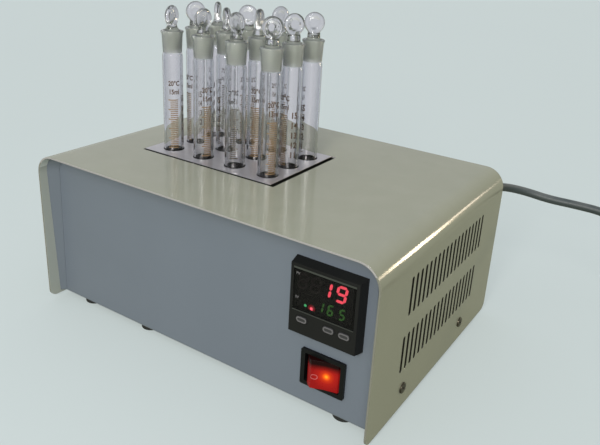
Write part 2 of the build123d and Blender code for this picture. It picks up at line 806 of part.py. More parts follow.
with BuildPart() as solid_state_relay:
    with BuildSketch(Plane.XY.offset(relay_base)):
        with Locations((relay_x, relay_y)):
            RectangleRounded(relay_width, relay_depth, sink_base)
    extrude(amount=relay_height)
    with BuildSketch(Plane.XY.offset(relay_base + relay_height)):
        with Locations((relay_x, relay_y)):
            with GridLocations(relay_width - terminal_width, 0, 2, 1):
                Rectangle(terminal_width, relay_depth)
    extrude(amount=-relay_step, mode=Mode.SUBTRACT)
    with BuildSketch(Plane.XY.offset(relay_base + relay_height - relay_step)):
        with Locations((relay_x, relay_y)):
            with GridLocations(relay_width - terminal_width, relay_depth / 2, 2, 2):
                Circle(nut_across / 2)
    extrude(amount=nut_height)
save(solid_state_relay, "solid_state_relay")

with BuildPart() as terminal_block:
    with BuildSketch(Plane.XY.offset(tray_floor)):
        with Locations((terminal_x, terminal_y)):
            Rectangle(terminal_width, terminal_count * terminal_pitch)
    extrude(amount=terminal_height)
    with BuildSketch(Plane.XY.offset(terminal_top)):
        with Locations((terminal_x + terminal_width / 4, terminal_y)):
            with GridLocations(0, terminal_pitch, 1, terminal_count):
                Circle(terminal_hole / 2)
    extrude(amount=-terminal_height / 2, mode=Mode.SUBTRACT)
save(terminal_block, "terminal_block")

fuse_z = tray_floor + fuse_base_height + clip_wall + fuse_diameter / 2

with BuildPart() as fuse_block:
    with BuildSketch(Plane.XY.offset(tray_floor)):
        with Locations((fuse_x, fuse_y)):
            Rectangle(fuse_base_width, fuse_base_depth)
    extrude(amount=fuse_base_height)
    with BuildSketch(facing_right(fuse_x, fuse_y, fuse_z)):
        Rectangle(fuse_diameter + 2 * clip_wall, fuse_diameter + 2 * clip_wall)
        Circle(fuse_diameter / 2, mode=Mode.SUBTRACT)
        with Locations((0, fuse_diameter / 2)):
            Rectangle(clip_mouth, fuse_diameter, mode=Mode.SUBTRACT)
    extrude(amount=fuse_length / 2, both=True)
    with BuildSketch(Plane.XY.offset(tray_floor + fuse_base_height)):
        with Locations((fuse_x, fuse_y)):
            Rectangle(fuse_length - 2 * clip_width, fuse_base_depth)
    extrude(amount=2 * fuse_diameter, mode=Mode.SUBTRACT)
save(fuse_block, "fuse_block")

with BuildPart() as glass_fuse:
    with BuildSketch(facing_right(fuse_x, fuse_y, fuse_z)):
        Circle(fuse_diameter / 2 - screw_fit)
    extrude(amount=fuse_length / 2 - seat_gap, both=True)
save(glass_fuse, "glass_fuse")

with BuildPart() as earth_stud:
    with BuildSketch(Plane.XY.offset(tray_floor)):
        with Locations((stud_x, stud_y)):
            Circle(stud_diameter / 2)
    extrude(amount=stud_height)
    with BuildSketch(Plane.XY.offset(tray_floor)):
        with Locations((stud_x, stud_y)):
            RegularPolygon(nut_across / 2, 6, major_radius=False)
    extrude(amount=nut_height)
save(earth_stud, "earth_stud")

# ========================================================================================================
# Mains lead: boot, free cord, coil, tail and plug
# ========================================================================================================

boot_tip_y = panel_y + boot_length
boot_reach = boot_tip_y - panel_inside
boot_radius = boot_diameter / 2
boot_flange_radius = boot_flange_diameter / 2

with BuildPart() as strain_relief:
    with BuildSketch(Plane((cord_exit_x, panel_inside, cord_exit_z))):
        with BuildLine():
            Polyline((0, -boot_inside), (boot_flange_radius, -boot_inside), (boot_flange_radius, 0),
                     (boot_radius, 0), (boot_radius, sheet), (boot_flange_radius, sheet),
                     (boot_flange_radius, sheet + boot_flange), (boot_radius, sheet + boot_flange),
                     (boot_tip_diameter / 2, boot_reach), (0, boot_reach), close=True)
        make_face()
    revolve(axis=Axis((cord_exit_x, 0, cord_exit_z), (0, 1, 0)))
save(strain_relief, "strain_relief")

# where the cord leaves the coil and where it joins it, on straight ends that touch the outermost turn
coil_stub = math.sqrt((coil_outer + cord_radius) ** 2 - coil_turn_radius ** 2)
top_turn_z = coil_height - cord_radius


def on_outer_turn(angle, ahead, height):
    """Point ahead millimetres along the clockwise tangent from the outermost turn at an angle."""
    turn = math.radians(angle)
    return (coil_x + coil_turn_radius * math.cos(turn) + ahead * math.sin(turn),
            coil_y + coil_turn_radius * math.sin(turn) - ahead * math.cos(turn), height)


coil_inlet = on_outer_turn(coil_entry_angle, -coil_stub, top_turn_z)
coil_outlet = on_outer_turn(coil_exit_angle, coil_stub, cord_radius)
plug_z = plug_thickness / 2
plug_way = (math.cos(math.radians(plug_heading)), math.sin(math.radians(plug_heading)))

cord_route = [
    (cord_exit_x, boot_tip_y, cord_exit_z),
    (cord_exit_x, 129.3, cord_exit_z),
    (129.6, 146.7, 91.0), (143.5, 158.3, 87.0), (161.0, 163.0, 83.5), (182.0, 169.0, 82.0),
    (204.0, 174.0, 80.0), (218.3, 176.5, 73.2), (229.6, 176.9, 61.9), (237.6, 176.1, 48.0),
    (245.4, 174.3, 34.1), (255.4, 170.6, 22.6), (267.5, 164.4, 14.4),
    on_outer_turn(coil_entry_angle, -(coil_stub + straight_end), top_turn_z),
    coil_inlet,
]
tail_route = [
    coil_outlet,
    on_outer_turn(coil_exit_angle, coil_stub + straight_end, cord_radius),
    (335.6, 41.5, 7.2), (334.2, 29.5, 11.3),
    (plug_entry_x - straight_end * plug_way[0], plug_entry_y - straight_end * plug_way[1], plug_z),
    (plug_entry_x, plug_entry_y, plug_z),
]

for route_name, route_points in (("cord", cord_route), ("tail", tail_route)):
    print(route_name, "bend radii", [round(radius, 1) for radius in corner_radii(route_points)])


def cord_tube(points):
    """Round cord along straight runs joined by arcs as large as the runs allow."""
    with BuildPart() as tube:
        with BuildLine() as route:
            FilletPolyline(*points, radius=corner_radii(points))
        first_run = Vector(*points[1]) - Vector(*points[0])
        with BuildSketch(Plane(origin=points[0], z_dir=first_run)):
            Circle(cord_radius)
        sweep(path=route.line)
    expected = math.pi * cord_radius ** 2 * sum(edge.length for edge in route.line.edges())
    print("cord volume over section times length", round(tube.part.volume / expected, 5))
    return tube


save(cord_tube(cord_route), "mains_cord")
save(cord_tube(tail_route), "cord_tail")


def stub_plane(tip, angle, way):
    """Plane at a stub's tip, facing back along the stub to the coil."""
    turn = math.radians(angle)
    return Plane(origin=tip, z_dir=(way * math.sin(turn), -way * math.cos(turn), 0))


with BuildPart() as cord_coil:
    with BuildSketch(Plane.XY):
        with Locations((coil_x, coil_y)):
            Circle(coil_outer)
            Circle(coil_outer - coil_width, mode=Mode.SUBTRACT)
    extrude(amount=coil_height)
    with BuildSketch(stub_plane(coil_inlet, coil_entry_angle, 1)):
        Circle(cord_radius)
    extrude(amount=coil_stub)
    with BuildSketch(stub_plane(coil_outlet, coil_exit_angle, -1)):
        Circle(cord_radius)
    extrude(amount=coil_stub)
    # the turns are drawn together under the tie
    tie_plane = Plane(origin=(coil_x, coil_y, 0)).rotated((0, 0, tie_angle))
    with BuildSketch(tie_plane):
        with Locations((coil_middle_radius, 0)):
            Rectangle(coil_width + cord_radius, tie_width)
    extrude(amount=coil_height, mode=Mode.SUBTRACT)
    with BuildSketch(tie_plane.offset(tie_thickness)):
        with Locations((coil_middle_radius, 0)):
            Rectangle(coil_width - 2 * tie_thickness, tie_width)
    extrude(amount=coil_height - 2 * tie_thickness)
save(cord_coil, "cord_coil")

with BuildPart() as cord_tie:
    with BuildSketch(tie_plane):
        with Locations((coil_middle_radius, 0)):
            Rectangle(coil_width, tie_width)
    extrude(amount=coil_height)
    with BuildSketch(tie_plane.offset(tie_thickness)):
        with Locations((coil_middle_radius, 0)):
            Rectangle(coil_width - 2 * tie_thickness, tie_width)
    extrude(amount=coil_height - 2 * tie_thickness, mode=Mode.SUBTRACT)
save(cord_tie, "cord_tie")

plug_plane = Plane(origin=(plug_entry_x, plug_entry_y, plug_z), x_dir=(-plug_way[1], plug_way[0], 0),
                   z_dir=(plug_way[0], plug_way[1], 0))
plug_grip_plane = plug_plane.offset(plug_collar_length + plug_shoulder_length)
plug_face = plug_plane.offset(plug_collar_length + plug_shoulder_length + plug_grip_length)

with BuildPart() as plug_body:
    with BuildSketch(plug_plane):
        Circle(plug_collar_diameter / 2)
    extrude(amount=plug_collar_length)
    with BuildSketch(plug_plane.offset(plug_collar_length)):
        RectangleRounded(plug_width / 2, plug_thickness / 2, plug_rounding)
    with BuildSketch(plug_grip_plane):
        RectangleRounded(plug_width, plug_thickness, plug_rounding)
    loft()
    with BuildSketch(plug_grip_plane):
        RectangleRounded(plug_width, plug_thickness, plug_rounding)
    extrude(amount=plug_grip_length)
save(plug_body, "plug_body")

with BuildPart() as plug_pins:
    with BuildSketch(plug_face):
        with PolarLocations(pin_circle, 2, start_angle=30, angular_range=120, endpoint=True):
            Rectangle(pin_thickness, pin_width)
        with PolarLocations(pin_circle, 1, start_angle=-90):
            Rectangle(pin_width, pin_thickness)       # earth pin
    extrude(amount=pin_length)
save(plug_pins, "plug_pins")

# ========================================================================================================
# Wires inside the case
# ========================================================================================================

boot_inner_y = panel_inside - boot_inside
tab_end_y = tab_length - switch_back
tab_x = switch_body_width / 4
tab_z = switch_body_height / 4
fuse_end_x = fuse_base_width / 2 - wire_diameter
fuse_top = tray_floor + fuse_base_height
relay_nut_top = relay_base + relay_height - relay_step + nut_height
relay_nut_x = relay_x - (relay_width - terminal_width) / 2
relay_nut_y = relay_y - relay_depth / 4
terminal_side = terminal_x + terminal_width / 2
terminal_mid = tray_floor + terminal_height / 2
terminal_front_y = terminal_y - 1.5 * terminal_pitch
stud_top = tray_floor + stud_height
relay_top = relay_base + relay_height
left_lane_x = relay_x - sink_width / 2 - wire_lane
right_lane_x = relay_x + sink_width / 2 + wire_lane / 3

wire_routes = {
    "live to fuse": [
        (cord_exit_x - wire_spread, boot_inner_y, cord_exit_z),
        (cord_exit_x - wire_spread, fuse_y, cord_exit_z), (cord_exit_x - 18.0, fuse_y, relay_top + 14.3),
        (fuse_x + fuse_end_x, fuse_y, relay_top - 5.7), (fuse_x + fuse_end_x, fuse_y, fuse_top)],
    "fuse to switch": [
        (fuse_x - fuse_end_x, fuse_y, fuse_top), (fuse_x - fuse_end_x, fuse_y, relay_top + 2.3),
        (left_lane_x - 0.5, relay_y + 10.0, relay_top + 8.3),
        (left_lane_x + 1.0, relay_y - 30.0, relay_top + 6.3),
        (switch_x - 21.9, tab_end_y + 26.5, switch_z + 14.1),
        (switch_x - tab_x, tab_end_y + 15.5, switch_z + tab_z),
        (switch_x - tab_x, tab_end_y, switch_z + tab_z)],
    "neutral to switch": [
        (cord_exit_x + wire_spread, boot_inner_y, cord_exit_z),
        (cord_exit_x + wire_spread, fuse_y, cord_exit_z), (right_lane_x, fuse_y - 15.0, cord_exit_z - 9.0),
        (right_lane_x, relay_y - 30.0, cord_exit_z - 24.0),
        (right_lane_x - 5.5, tab_end_y + 27.5, switch_z + 18.1),
        (switch_x + tab_x, tab_end_y + 15.5, switch_z + tab_z),
        (switch_x + tab_x, tab_end_y, switch_z + tab_z)],
    "earth to stud": [
        (cord_exit_x, boot_inner_y, cord_exit_z - wire_spread),
        (cord_exit_x, stud_y + stud_diameter, cord_exit_z - wire_spread),
        (stud_x, stud_y, cord_exit_z - 26.0), (stud_x, stud_y, stud_top)],
    "switched live to terminals": [
        (switch_x - tab_x, tab_end_y, switch_z - tab_z),
        (switch_x - tab_x, tab_end_y + 14.5, switch_z - tab_z),
        (terminal_side + 16.0, terminal_front_y, terminal_mid),
        (terminal_side, terminal_front_y, terminal_mid)],
    "switched neutral to terminals": [
        (switch_x + tab_x, tab_end_y, switch_z - tab_z),
        (switch_x + tab_x, tab_end_y + 14.5, switch_z - tab_z),
        (terminal_side + 24.0, terminal_front_y + terminal_pitch, terminal_mid),
        (terminal_side, terminal_front_y + terminal_pitch, terminal_mid)],
    "terminals to relay": [
        (terminal_side, terminal_front_y + 3 * terminal_pitch, terminal_mid),
        (left_lane_x + 0.5, terminal_front_y + 3 * terminal_pitch, terminal_mid),
        (left_lane_x + 0.5, terminal_front_y + 34.0, relay_top - 3.7),
        (relay_nut_x, relay_y - 30.0, relay_top + 9.3), (relay_nut_x, relay_nut_y, relay_top + 10.3),
        (relay_nut_x, relay_nut_y, relay_nut_top)],
}

with BuildPart() as internal_wiring:
    for wire_route in wire_routes.values():
        add(sleeved_lead(wire_route, wire_diameter))
save(internal_wiring, "internal_wiring")
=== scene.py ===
"""Benchtop digestion reactor, dressed: finishes for the metal, plastic and rubber pieces, blown glass tubes
and stoppers with their printed scales, the lit display and switch, and the mains lead.

Metres, in the frame of the solids: the origin is on the table under the middle of the cover, +X to the right
of the front panel, -Y towards the user.
"""
import math

import bmesh
import bpy
from mathutils import Matrix, Vector
from mathutils.bvhtree import BVHTree


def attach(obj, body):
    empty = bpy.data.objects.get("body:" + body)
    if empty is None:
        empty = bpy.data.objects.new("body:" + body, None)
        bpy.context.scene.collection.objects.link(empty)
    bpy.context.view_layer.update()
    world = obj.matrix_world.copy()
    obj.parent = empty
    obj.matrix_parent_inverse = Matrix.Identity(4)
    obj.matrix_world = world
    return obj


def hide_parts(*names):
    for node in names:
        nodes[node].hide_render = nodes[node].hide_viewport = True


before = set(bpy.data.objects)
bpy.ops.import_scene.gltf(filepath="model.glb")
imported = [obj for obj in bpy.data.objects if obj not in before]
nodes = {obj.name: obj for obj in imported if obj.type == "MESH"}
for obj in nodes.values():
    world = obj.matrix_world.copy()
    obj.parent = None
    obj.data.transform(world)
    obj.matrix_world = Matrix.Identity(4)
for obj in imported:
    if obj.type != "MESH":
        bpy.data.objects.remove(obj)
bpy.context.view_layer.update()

MM = 0.001

# ---- sizes shared with the solids, in millimetres --------------------------------------
panel_y = 87.5
block_top = 121.0
well_columns, well_rows = 4, 3
well_pitch_x, well_pitch_y = 29.2, 25.0
well_middle_x, well_middle_y = -32.0, -1.7
tube_bottom = 48.0
tube_rim = 209.0
tube_radius = 7.25
tube_wall = 1.1
joint_length = 15.5
head_radius = 7.3
bezel_y = 95.5
controller_x = 102.8
controller_z = 80.8
bezel_face = 45.4
key_z = 68.2
switch_x = 101.9
switch_z = 31.9

# middles of the stoppers' discs above the rims, and which way the discs and the tubes' scales are turned, in
# degrees from -Y towards +X
head_rises = (9.9, 11.1, 11.6, 12.3, 11.2, 9.9, 12.0, 12.3, 9.4, 10.0, 12.2, 11.3)
head_turns = (102, 87, -10, 38, 58, 140, 112, 50, 122, 25, 74, 40)
scale_turns = (49, 66, 234, 58, -11, -75, 30, -7, 190, 58, 36, -78)


# ==== Mesh helpers ======================================================================

def new_piece(name, mesh, materials, body, smooth=True, place=(0, 0, 0), turn=0):
    """Object at a place in metres, turned about Z by degrees, that rides on a body of the frame."""
    piece = bpy.data.objects.new(name, mesh)
    bpy.context.scene.collection.objects.link(piece)
    piece.location = place
    piece.rotation_euler.z = math.radians(turn)
    if not mesh.materials:
        for material in materials:
            mesh.materials.append(material)
        if smooth:
            mesh.polygons.foreach_set("use_smooth", [True] * len(mesh.polygons))
    if body:
        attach(piece, body)
    return piece


def mesh_from(name, shape):
    """Mesh datablock from a bmesh, in metres, with outward normals."""
    bmesh.ops.recalc_face_normals(shape, faces=shape.faces)
    mesh = bpy.data.meshes.new(name)
    shape.to_mesh(mesh)
    shape.free()
    return mesh


def shaped_piece(name, shape, material, body, smooth=False):
    """Piece of one material, made from a bmesh."""
    return new_piece(name, mesh_from(name, shape), [material], body, smooth)


def smoothly(value, start=0.0, end=1.0):
    """Eased share from 0 to 1 of the way from start to end, level at both ends."""
    share = min(1.0, max(0.0, (value - start) / (end - start)))
    return share * share * (3 - 2 * share)


def arc(centre_radius, centre_height, radius, start, end, steps):
    """Points of a profile along an arc, angles in degrees from the radius axis."""
    points = []
    for i in range(steps + 1):
        turn = math.radians(start + (end - start) * i / steps)
        points.append((centre_radius + radius * math.cos(turn), centre_height + radius * math.sin(turn)))
    return points


def circle(radius, segments):
    turns = [2 * math.pi * i / segments for i in range(segments)]
    return [(radius * math.cos(turn), radius * math.sin(turn)) for turn in turns]


def oval(middle_x, middle_z, width, height, steps=10):
    """Outline of an oval with straight sides."""
    radius = height / 2
    half = width / 2 - radius
    right = [(half + x, z) for x, z in arc(0, 0, radius, -90, 90, steps)]
    left = [(x - half, z) for x, z in arc(0, 0, radius, 90, 270, steps)]
    return [(middle_x + x, middle_z + z) for x, z in right + left]


def level_ring(shape, height, outline):
    """Ring of vertices at a height, in millimetres; one vertex serves all points of a ring on the axis."""
    if math.hypot(*outline[0]) < 1e-6:
        return [shape.verts.new((0, 0, height * MM))] * len(outline)
    return [shape.verts.new((x * MM, y * MM, height * MM)) for x, y in outline]


def skin(shape, rings):
    """Faces between each closed ring of vertices and the next one."""
    for lower, upper in zip(rings, rings[1:]):
        for i in range(len(lower)):
            j = (i + 1) % len(lower)
            shape.faces.new(list(dict.fromkeys((lower[i], lower[j], upper[j], upper[i]))))


def lathe(shape, profile, segments):
    """Revolve a profile of (radius, height) points, in millimetres, about Z into a bmesh."""
    skin(shape, [level_ring(shape, height, circle(radius, segments)) for radius, height in profile])


def add_prism(shape, outline, depth, place):
    """Flat outline in a plane's own x and z with a depth along its y, put in place by a function."""
    front, back = ([shape.verts.new(place(x, y, z)) for x, z in outline] for y in (0.0, depth))
    shape.faces.new(front)
    shape.faces.new(list(reversed(back)))
    skin(shape, [back, front])


def add_ring(shape, outer, inner, depth, place):
    """Flat ring between two outlines with as many points each."""
    rings = [[shape.verts.new(place(x, y, z)) for x, z in outline]
             for outline, y in ((outer, 0.0), (inner, 0.0), (inner, depth), (outer, depth))]
    skin(shape, rings + rings[:1])


# ==== Shader nodes and node groups ======================================================

def plug(tree, socket, source):
    """Link an input to another node's output, or set it to a value; a colour is three numbers."""
    if isinstance(source, bpy.types.NodeSocket):
        tree.links.new(source, socket)
    else:
        socket.default_value = (*source, 1) if socket.type == "RGBA" else source


def add_node(tree, kind, settings=None, inputs=None):
    """Shader node with its settings and its inputs' values or sources; gives its outputs."""
    node = tree.nodes.new(f"ShaderNode{kind}")
    for name, value in (settings or {}).items():
        setattr(node, name, value)
    for name, source in (inputs or {}).items():
        plug(tree, node.inputs[name], source)
    return node.outputs


def calculated(tree, operation, first, second, kind="Math"):
    return add_node(tree, kind, {"operation": operation}, {0: first, 1: second})


def mixed(tree, share, first, second):
    """Colour that goes from the first to the second with a share from 0 to 1."""
    return add_node(tree, "Mix", {"data_type": "RGBA"}, {"Factor": share, "A": first, "B": second})["Result"]


def ranged(tree, value, start, end, low=0.0, high=1.0):
    """Value that goes from low to high while another goes from start to end."""
    limits = {"From Min": start, "From Max": end, "To Min": low, "To Max": high}
    return add_node(tree, "MapRange", None, {"Value": value, **limits})["Result"]


def own_place(tree):
    """Point's place in the object, in metres."""
    return add_node(tree, "TexCoord")["Object"]


def axes_of(tree, vector):
    return add_node(tree, "SeparateXYZ", None, {0: vector})


def noise_of(tree, place, scale, detail):
    return add_node(tree, "TexNoise", None, {"Vector": place, "Scale": scale, "Detail": detail})["Fac"]


def relief_of(tree, height, strength, distance, normal=None):
    """Normal of a surface with small relief over its own normal or another one."""
    inputs = {"Strength": strength, "Distance": distance, "Height": height}
    if normal:
        inputs["Normal"] = normal
    return add_node(tree, "Bump", None, inputs)["Normal"]


def start_group(name, inputs, outputs):
    """Empty node group with sockets of these kinds; gives its tree, what comes in and what goes out."""
    tree = bpy.data.node_groups.new(name, "ShaderNodeTree")
    for way, sockets in (("INPUT", inputs), ("OUTPUT", outputs)):
        for socket_name, kind in sockets.items():
            tree.interface.new_socket(socket_name, in_out=way, socket_type=f"NodeSocket{kind}")
    return tree, tree.nodes.new("NodeGroupInput").outputs, tree.nodes.new("NodeGroupOutput").inputs


def surface_grain_group():
    """Fine grain over the solid, stretched along an axis for brushed and drawn surfaces."""
    tree, given, out = start_group("Surface grain", {"Scale": "Float", "Stretch": "Vector"},
                                   {"Grain": "Float"})
    place = calculated(tree, "MULTIPLY", own_place(tree), given["Stretch"], "VectorMath")[0]
    plug(tree, out["Grain"], noise_of(tree, place, given["Scale"], 3.0))
    return tree


def colour_drift_group():
    """Slow drift between two close colours, as sprayed, moulded and handled surfaces have."""
    tree, given, out = start_group(
        "Colour drift", {"Colour": "Color", "Drifted colour": "Color", "Scale": "Float"}, {"Colour": "Color"})
    drift = ranged(tree, noise_of(tree, own_place(tree), given["Scale"], 4.0), 0.32, 0.68)
    plug(tree, out["Colour"], mixed(tree, drift, given["Colour"], given["Drifted colour"]))
    return tree


def settled_dust_group():
    """Mask of the light dust that lies on faces that look up."""
    tree, given, out = start_group("Settled dust", {"Amount": "Float"}, {"Dust": "Float"})
    upward = ranged(tree, axes_of(tree, add_node(tree, "NewGeometry")["Normal"])["Z"], 0.4, 1.0)
    patches = ranged(tree, noise_of(tree, own_place(tree), 60.0, 6.0), 0.35, 0.75)
    lying = calculated(tree, "MULTIPLY", upward, patches)[0]
    plug(tree, out["Dust"], calculated(tree, "MULTIPLY", lying, given["Amount"])[0])
    return tree


def rubbed_edge_group():
    """Rounded normal along sharp edges, and a mask along them for painted highlights and painted shade."""
    tree, given, out = start_group("Painted edge shading", {"Radius": "Float", "Amount": "Float"},
                                   {"Edge": "Float", "Normal": "Vector"})
    rounded = add_node(tree, "Bevel", {"samples": 4}, {"Radius": given["Radius"]})["Normal"]
    flat = add_node(tree, "NewGeometry")["Normal"]
    along = calculated(tree, "DOT_PRODUCT", rounded, flat, "VectorMath")["Value"]
    edge = ranged(tree, along, 0.995, 0.80)
    plug(tree, out["Edge"], calculated(tree, "MULTIPLY", edge, given["Amount"])[0])
    plug(tree, out["Normal"], rounded)
    return tree


surface_grain = surface_grain_group()
colour_drift = colour_drift_group()
settled_dust = settled_dust_group()
painted_edge_shading = rubbed_edge_group()


def add_group(tree, group, inputs):
    return add_node(tree, "Group", {"node_tree": group}, inputs)


# ==== Finishes ==========================================================================

dust_colour = (0.62, 0.60, 0.56)


def shader_of(material):
    """Inputs of a material's shader."""
    return material.node_tree.nodes["Principled BSDF"].inputs


def new_material(name, sockets):
    """Material with these values on its shader's own sockets."""
    material = bpy.data.materials.new(name)
    material.use_nodes = True
    for socket_name, value in sockets.items():
        shader_of(material)[socket_name].default_value = value
    return material


def finish(name, colour, drifted, roughness, grain=900.0, stretch=(1.0, 1.0, 1.0), roughness_spread=0.08,
           bump=0.05, bump_depth=0.0001, drift_scale=14.0, dust=0.0, edge=0.0, edge_colour=None,
           edge_radius=0.0003, sockets=None):
    """Opaque finish: drifting colour, grain in roughness and relief, dust on top, and an edge colour along
    sharp edges that paints a highlight there when lighter and shade when darker.
    """
    material = new_material(name, sockets or {})
    tree, shader = material.node_tree, shader_of(material)
    fine = add_group(tree, surface_grain, {"Scale": grain, "Stretch": stretch})["Grain"]
    edges = add_group(tree, painted_edge_shading, {"Radius": edge_radius, "Amount": edge})
    drift = add_group(tree, colour_drift, {"Scale": drift_scale, "Colour": colour, "Drifted colour": drifted})
    surface_colour = drift["Colour"]
    if edge_colour:
        surface_colour = mixed(tree, edges["Edge"], surface_colour, edge_colour)
    if dust:
        lying = add_group(tree, settled_dust, {"Amount": dust})["Dust"]
        surface_colour = mixed(tree, lying, surface_colour, dust_colour)
    half = roughness_spread / 2
    plug(tree, shader["Base Color"], surface_colour)
    plug(tree, shader["Roughness"], ranged(tree, fine, 0.3, 0.7, roughness - half, roughness + half))
    plug(tree, shader["Normal"], relief_of(tree, fine, bump, bump_depth, edges["Normal"]))
    return material


def glass(name, clear, rim, roughness, transmission=1.0, grain=0.0, rim_reach=0.35):
    """Glass whose colour darkens towards its outline as painted shade, standing in for dark reflections along
    glass edges; ground glass has grain and a rough surface.
    """
    material = new_material(name, {"Transmission Weight": transmission, "IOR": 1.47, "Roughness": roughness})
    tree, shader = material.node_tree, shader_of(material)
    # painted shade: the base colour turns from the clear colour to the darker rim colour towards the outline
    outline = add_node(tree, "LayerWeight", None, {"Blend": rim_reach})["Facing"]
    ripple = add_group(tree, surface_grain, {"Scale": grain or 90.0, "Stretch": (1.0, 1.0, 0.25)})["Grain"]
    strength, depth = (0.3, 0.00005) if grain else (0.04, 0.0001)
    plug(tree, shader["Base Color"], mixed(tree, outline, clear, rim))
    plug(tree, shader["Normal"], relief_of(tree, ripple, strength, depth))
    return material


def lit(name, colour, strength):
    """Lit segment or lamp: a plain glow with slight unevenness."""
    unlit = (0.02, 0.02, 0.02)
    material = finish(name, unlit, unlit, 0.4, grain=1500.0, sockets={"Emission Strength": strength})
    tree = material.node_tree
    dimmer = [share * 0.8 for share in colour]
    glow = add_group(tree, colour_drift, {"Scale": 400.0, "Colour": colour, "Drifted colour": dimmer})
    plug(tree, shader_of(material)["Emission Color"], glow["Colour"])
    return material


def zone(tree, place, facing):
    """Mask that is 1 where the place, in millimetres, and the surface's direction are within limits."""
    axes = axes_of(tree, own_place(tree))
    ways = axes_of(tree, add_node(tree, "NewGeometry")["Normal"])
    limits = [(axes[axis], lowest * MM, highest * MM) for axis, (lowest, highest) in place.items()]
    limits += [(ways[axis], lowest, highest) for axis, (lowest, highest) in facing.items()]
    mask = 1.0
    for value, lowest, highest in limits:
        for operation, limit in (("GREATER_THAN", lowest), ("LESS_THAN", highest)):
            mask = calculated(tree, "MULTIPLY", mask, calculated(tree, operation, value, limit)[0])[0]
    return mask


def recolour(material, colour, place, facing):
    """Give a finish another colour in a zone."""
    tree, base = material.node_tree, shader_of(material)["Base Color"]
    plug(tree, base, mixed(tree, zone(tree, place, facing), base.links[0].from_socket, colour))


def sprayed_cover():
    """Glossy sprayed sheet steel with painted light and shade: painted shade in the vent slots and the
    opening, painted light inside the left wall and its bend, a painted highlight on the top's front edge and
    along sharp edges, and painted darker front edges on the walls.
    """
    material = finish("Cover paint", (0.281, 0.286, 0.219), (0.267, 0.272, 0.209), 0.12, grain=1100.0,
                      roughness_spread=0.05, bump_depth=0.00006, dust=0.04, edge=0.12,
                      edge_colour=(0.44, 0.44, 0.40), edge_radius=0.0006,
                      sockets={"Specular IOR Level": 0.33})
    painted_hole_shade = (0.018, 0.018, 0.014)
    slot_y, slot_z = (-90, 90), (25, 104)
    across, forwards = (-0.5, 0.5), (-1.1, -0.7)
    # in turn: inside of the left bend, painted light; left slots and right slots, painted shade; opening,
    # painted shade; inside of the left wall, painted light; front edge of the top and of its bends, a painted
    # highlight; front edges of the walls, painted darker
    recolour(material, (0.66, 0.70, 0.68), {"X": (-139.4, -127), "Z": (102, 119.6)}, {"X": (0.15, 1.1)})
    recolour(material, painted_hole_shade, {"X": (-141.0, -138.2), "Y": slot_y, "Z": slot_z}, {"X": across})
    recolour(material, painted_hole_shade, {"X": (138.2, 141.0), "Y": slot_y, "Z": slot_z}, {"X": across})
    recolour(material, painted_hole_shade, {"X": (-100, 100), "Y": (-70, 70), "Z": (117, 121)}, {"Z": across})
    recolour(material, (0.41, 0.44, 0.41), {"X": (-139.4, -138.0)}, {"X": (0.5, 1.1)})
    recolour(material, (0.34, 0.33, 0.32), {"Z": (114, 121)}, {"Y": forwards})
    recolour(material, (0.19, 0.19, 0.155), {"Y": (-101, -98), "Z": (0, 114)}, {"Y": forwards})
    return material


def milled_block():
    """Milled aluminium, bright on its top, with painted shade that makes its sides and wells near black."""
    material = finish("Milled aluminium", (0.52, 0.50, 0.52), (0.46, 0.44, 0.46), 0.36, grain=500.0,
                      stretch=(0.15, 1.0, 1.0), roughness_spread=0.16, bump=0.12, sockets={"Metallic": 0.8})
    # painted shade: near black everywhere below the top face, on the sides and in the wells
    recolour(material, (0.020, 0.022, 0.020), {"Z": (0, block_top - 0.35)}, {})
    return material


def rocker_glow():
    """Translucent red rocker, lit by a lamp right of its middle; painted shade darkens its top, where it
    stands back, and its lighter edge colour is a painted highlight.
    """
    material = finish("Lit rocker", (0.22, 0.006, 0.006), (0.18, 0.005, 0.005), 0.30, grain=1200.0, bump=0.04,
                      edge=0.35, edge_colour=(0.52, 0.03, 0.03),
                      sockets={"Specular IOR Level": 0.12, "Emission Strength": 0.9})
    tree, shader = material.node_tree, shader_of(material)
    lamp_place = ((switch_x + 3.6) * MM, -90.0 * MM, (switch_z - 0.2) * MM)
    away = calculated(tree, "DISTANCE", own_place(tree), lamp_place, "VectorMath")["Value"]
    glow = tree.nodes.new("ShaderNodeValToRGB")
    plug(tree, glow.inputs["Fac"], ranged(tree, away, 9.0 * MM, 0.5 * MM))
    ramp = glow.color_ramp.elements
    ramp[0].color = (0.10, 0.002, 0.002, 1)
    ramp[1].color = (1.0, 0.46, 0.02, 1)
    for position, colour in ((0.45, (0.24, 0.008, 0.003)), (0.72, (0.47, 0.036, 0.003)),
                             (0.88, (0.95, 0.15, 0.004))):
        ramp.new(position).color = (*colour, 1)
    # painted shade: colour and glow fade to near black towards the rocker's top
    height = axes_of(tree, own_place(tree))["Z"]
    below_painted_shade = ranged(tree, height, (switch_z + 7.5) * MM, (switch_z + 3.2) * MM)
    for socket, source in ((shader["Emission Color"], glow.outputs["Color"]),
                           (shader["Base Color"], shader["Base Color"].links[0].from_socket)):
        plug(tree, socket, mixed(tree, below_painted_shade, (0.006, 0.001, 0.001), source))
    return material


